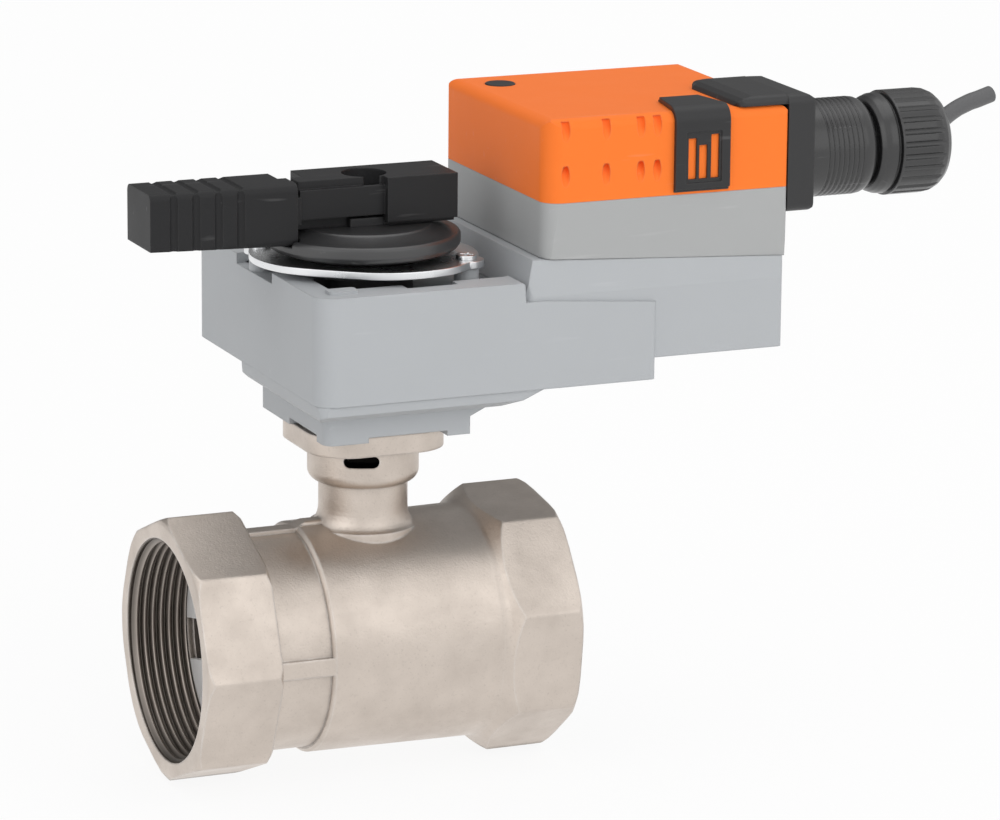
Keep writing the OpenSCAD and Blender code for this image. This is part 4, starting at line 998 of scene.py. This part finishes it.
class VALVE_OT_button_coil(bpy.types.Operator):
    """Wind the spring that the button presses together."""

    bl_idname = "valve.button_coil"
    bl_label = "Button spring"

    def execute(self, context):
        sizes = context.scene.valve_coil
        low, high = corners("button_spring")
        middle = (low + high) / 2
        foot = np.array([middle[0], middle[1], low[2] + sizes.wire / 2])
        radius = (high[0] - low[0] - sizes.wire) / 2
        height = high[2] - low[2] - sizes.wire
        points, faces = coil_points(foot, radius, height, sizes)
        mesh = weld(mesh_of("button_coil", points, faces))
        coil = piece("button_coil", mesh, "root", polished_steel())
        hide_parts("button_spring")
        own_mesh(coil)
        return {"FINISHED"}


class VALVE_OT_lever(bpy.types.Operator):
    """Finish the lever, and round and finish its dial."""

    bl_idname = "valve.lever"
    bl_label = "Lever and dial"

    def execute(self, context):
        edges = context.scene.valve_edges
        finish("lever", lever_plastic())
        rounded("dial", edges.moulded, dial_plastic(), edges.steps)
        return {"FINISHED"}


class VALVE_OT_hardware(bpy.types.Operator):
    """Round and finish the ring and the screws that show."""

    bl_idname = "valve.hardware"
    bl_label = "Ring and screws"

    def execute(self, context):
        edges = context.scene.valve_edges
        rounded("retaining_ring", edges.pressed, zinc_plate(), edges.steps)
        for node in ("ring_screws", "centre_screw"):
            rounded(node, edges.fine, zinc_plate(), edges.steps)
        for node in ("base_screws", "housing_screws"):
            finish(node, zinc_plate())
        return {"FINISHED"}


class VALVE_OT_inner_parts(bpy.types.Operator):
    """Finish the ball, the stem, the seals, the gears, the motor and the board."""

    bl_idname = "valve.inner_parts"
    bl_label = "Inner parts"

    def execute(self, context):
        kinds = {
            polished_steel: ("ball", "stem", "gear_axles", "motor", "motor_screws"),
            white_polymer: ("inlet_seat", "outlet_seat", "body_seal", "thrust_washer"),
            sheath_rubber: ("stem_seals", "gland_seal"),
            gear_plastic: ("output_gear", "second_gear", "first_gear"),
            bronze_metal: ("hub_bush", "motor_pinion"),
            board_mask: ("circuit_board",),
            terminal_plastic: ("terminal_block",),
        }
        for material, nodes in kinds.items():
            for node in nodes:
                finish(node, material())
        return {"FINISHED"}


# Studio

def camera_in_place():
    """The camera at the photograph's angle."""
    data = bpy.data.cameras.new("camera")
    data.sensor_fit = "HORIZONTAL"
    data.sensor_width = SENSOR
    data.lens = LENS
    data.clip_end = VIEW_END
    camera = bpy.data.objects.new("camera", data)
    bpy.context.scene.collection.objects.link(camera)
    back = CAMERA_BACK.normalized()
    right = (CAMERA_RIGHT - CAMERA_RIGHT.dot(back) * back).normalized()
    up = back.cross(right)
    turn = Matrix((right, up, back)).transposed().to_4x4()
    camera.matrix_world = Matrix.Translation(CAMERA_PLACE) @ turn
    bpy.context.scene.camera = camera


def lamp(name, place, target, size, power, mirrored):
    """A square soft lamp that looks at the target, and that metal mirrors or not."""
    data = bpy.data.lights.new(name, "AREA")
    data.shape = "SQUARE"
    data.size = size
    data.energy = power
    made = bpy.data.objects.new(name, data)
    bpy.context.scene.collection.objects.link(made)
    made.visible_glossy = mirrored
    place = Vector(place)
    turn = (Vector(target) - place).to_track_quat("-Z", "Y").to_matrix().to_4x4()
    made.matrix_world = Matrix.Translation(place) @ turn


def seen_directly(tree):
    """1 for rays of the eye, of mirrors and of glass, and 0 for light that falls on the part."""
    path = tree.nodes.new("ShaderNodeLightPath")
    seen = math(tree, "ADD", path.outputs["Is Camera Ray"], path.outputs["Is Glossy Ray"], clamp=True)
    return math(tree, "ADD", seen, path.outputs["Is Transmission Ray"], clamp=True)


def floor_material(settings):
    """Pale floor that keeps the shadow but goes towards white for the eye."""
    made = Finish("Floor", settings.floor, 0.9)
    tree = made.tree
    clouds = noise(tree, object_place(tree), FLOOR_CLOUDS, detail=2.0)
    made.tint(clouds, lighter(settings.floor, 0.3), 0.2)
    glow = tree.nodes.new("ShaderNodeEmission")
    mix = tree.nodes.new("ShaderNodeMixShader")
    share = math(tree, "MULTIPLY", seen_directly(tree), settings.whiten)
    tree.links.new(share, mix.inputs["Fac"])
    tree.links.new(made.shader.outputs["BSDF"], mix.inputs[1])
    tree.links.new(glow.outputs["Emission"], mix.inputs[2])
    tree.links.new(mix.outputs["Shader"], tree.nodes["Material Output"].inputs["Surface"])
    return made.material


def floor_in_place(settings):
    """A flat square floor just under the part."""
    low = cad_box[0][2] - settings.clear
    half = settings.floor_size / 2
    steps = np.linspace(-half, half, FLOOR_POINTS)
    x, y = np.meshgrid(steps, steps, indexing="ij")
    points = np.stack([x, y, np.full_like(x, low)], axis=-1)
    faces = grid_faces(FLOOR_POINTS, FLOOR_POINTS, False, False)[:, ::-1]
    floor = bpy.data.objects.new("floor", mesh_of("floor", points, faces))
    bpy.context.scene.collection.objects.link(floor)
    floor.data.materials.append(floor_material(settings))


def world_light(settings):
    """White to the eye, a softer white as light, and in metal white with a dim backdrop behind the part."""
    world = bpy.data.worlds.new("Studio")
    world.use_nodes = True
    tree = world.node_tree
    back = tree.nodes["Background"]
    place = tree.nodes.new("ShaderNodeTexCoord").outputs["Generated"]
    split = tree.nodes.new("ShaderNodeSeparateXYZ")
    tree.links.new(place, split.inputs["Vector"])
    light = span(tree, split.outputs["Z"], *SKY_SPAN, settings.sky * GROUND_SHARE, settings.sky)
    mirrored = span(tree, split.outputs["Y"], *BACKDROP_SPAN, 1.0, settings.backdrop)
    path = tree.nodes.new("ShaderNodeLightPath")
    seen = (path.outputs["Is Camera Ray"], path.outputs["Is Transmission Ray"])
    eye = math(tree, "ADD", *seen, clamp=True)
    level = blend(tree, path.outputs["Is Glossy Ray"], light, mirrored)
    tree.links.new(blend(tree, eye, level, 1.0), back.inputs["Strength"])
    back.inputs["Color"].default_value = WHITE
    bpy.context.scene.world = world


class VALVE_OT_stage(bpy.types.Operator):
    """Set up the camera, the floor, the lamps and the world."""

    bl_idname = "valve.stage"
    bl_label = "Studio"

    def execute(self, context):
        settings = context.scene.valve_stage
        context.scene.view_settings.view_transform = "Standard"
        camera_in_place()
        world_light(settings)
        floor_in_place(settings)
        middle = (np.array(cad_box[0]) + np.array(cad_box[1])) / 2
        for name, (offset, size, mirrored) in LAMPS.items():
            lamp(name, middle + offset, middle, size, getattr(settings, name), mirrored)
        return {"FINISHED"}


class VALVE_PT_panel(bpy.types.Panel):
    """Lists the steps that dress the valve, and their sizes and colours."""

    bl_idname = "VALVE_PT_panel"
    bl_label = "Motorized valve"
    bl_space_type = "VIEW_3D"
    bl_region_type = "UI"
    bl_category = "Valve"

    def draw(self, context):
        for step in STEPS:
            self.layout.operator(step.bl_idname)
        for name, kind in SETTINGS.items():
            self.layout.label(text=kind.__doc__)
            settings = getattr(context.scene, name)
            for label in kind.__annotations__:
                self.layout.prop(settings, label)


# What the panel lists
STEPS = (
    VALVE_OT_stage,
    VALVE_OT_cable,
    VALVE_OT_threads,
    VALVE_OT_castings,
    VALVE_OT_housings,
    VALVE_OT_cover,
    VALVE_OT_black_parts,
    VALVE_OT_button_coil,
    VALVE_OT_lever,
    VALVE_OT_hardware,
    VALVE_OT_inner_parts,
)
SETTINGS = {
    "valve_finishes": ValveFinishes,
    "valve_edges": ValveEdges,
    "valve_threads": ValveThreads,
    "valve_cable": ValveCable,
    "valve_coil": ValveCoil,
    "valve_stage": ValveStage,
}


def register():
    """Registers the classes and puts the settings on the scene."""
    for kind in (*SETTINGS.values(), *STEPS, VALVE_PT_panel):
        bpy.utils.register_class(kind)
    for name, kind in SETTINGS.items():
        setattr(bpy.types.Scene, name, PointerProperty(type=kind))


def unregister():
    """Takes the settings and the classes away again."""
    for name in SETTINGS:
        delattr(bpy.types.Scene, name)
    for kind in reversed((*SETTINGS.values(), *STEPS, VALVE_PT_panel)):
        bpy.utils.unregister_class(kind)


def main():
    """Registers the classes and takes every step in order."""
    register()
    bpy.ops.valve.stage()
    bpy.ops.valve.cable()
    bpy.ops.valve.threads()
    bpy.ops.valve.castings()
    bpy.ops.valve.housings()
    bpy.ops.valve.cover()
    bpy.ops.valve.black_parts()
    bpy.ops.valve.button_coil()
    bpy.ops.valve.lever()
    bpy.ops.valve.hardware()
    bpy.ops.valve.inner_parts()


if __name__ == "__main__":
    main()
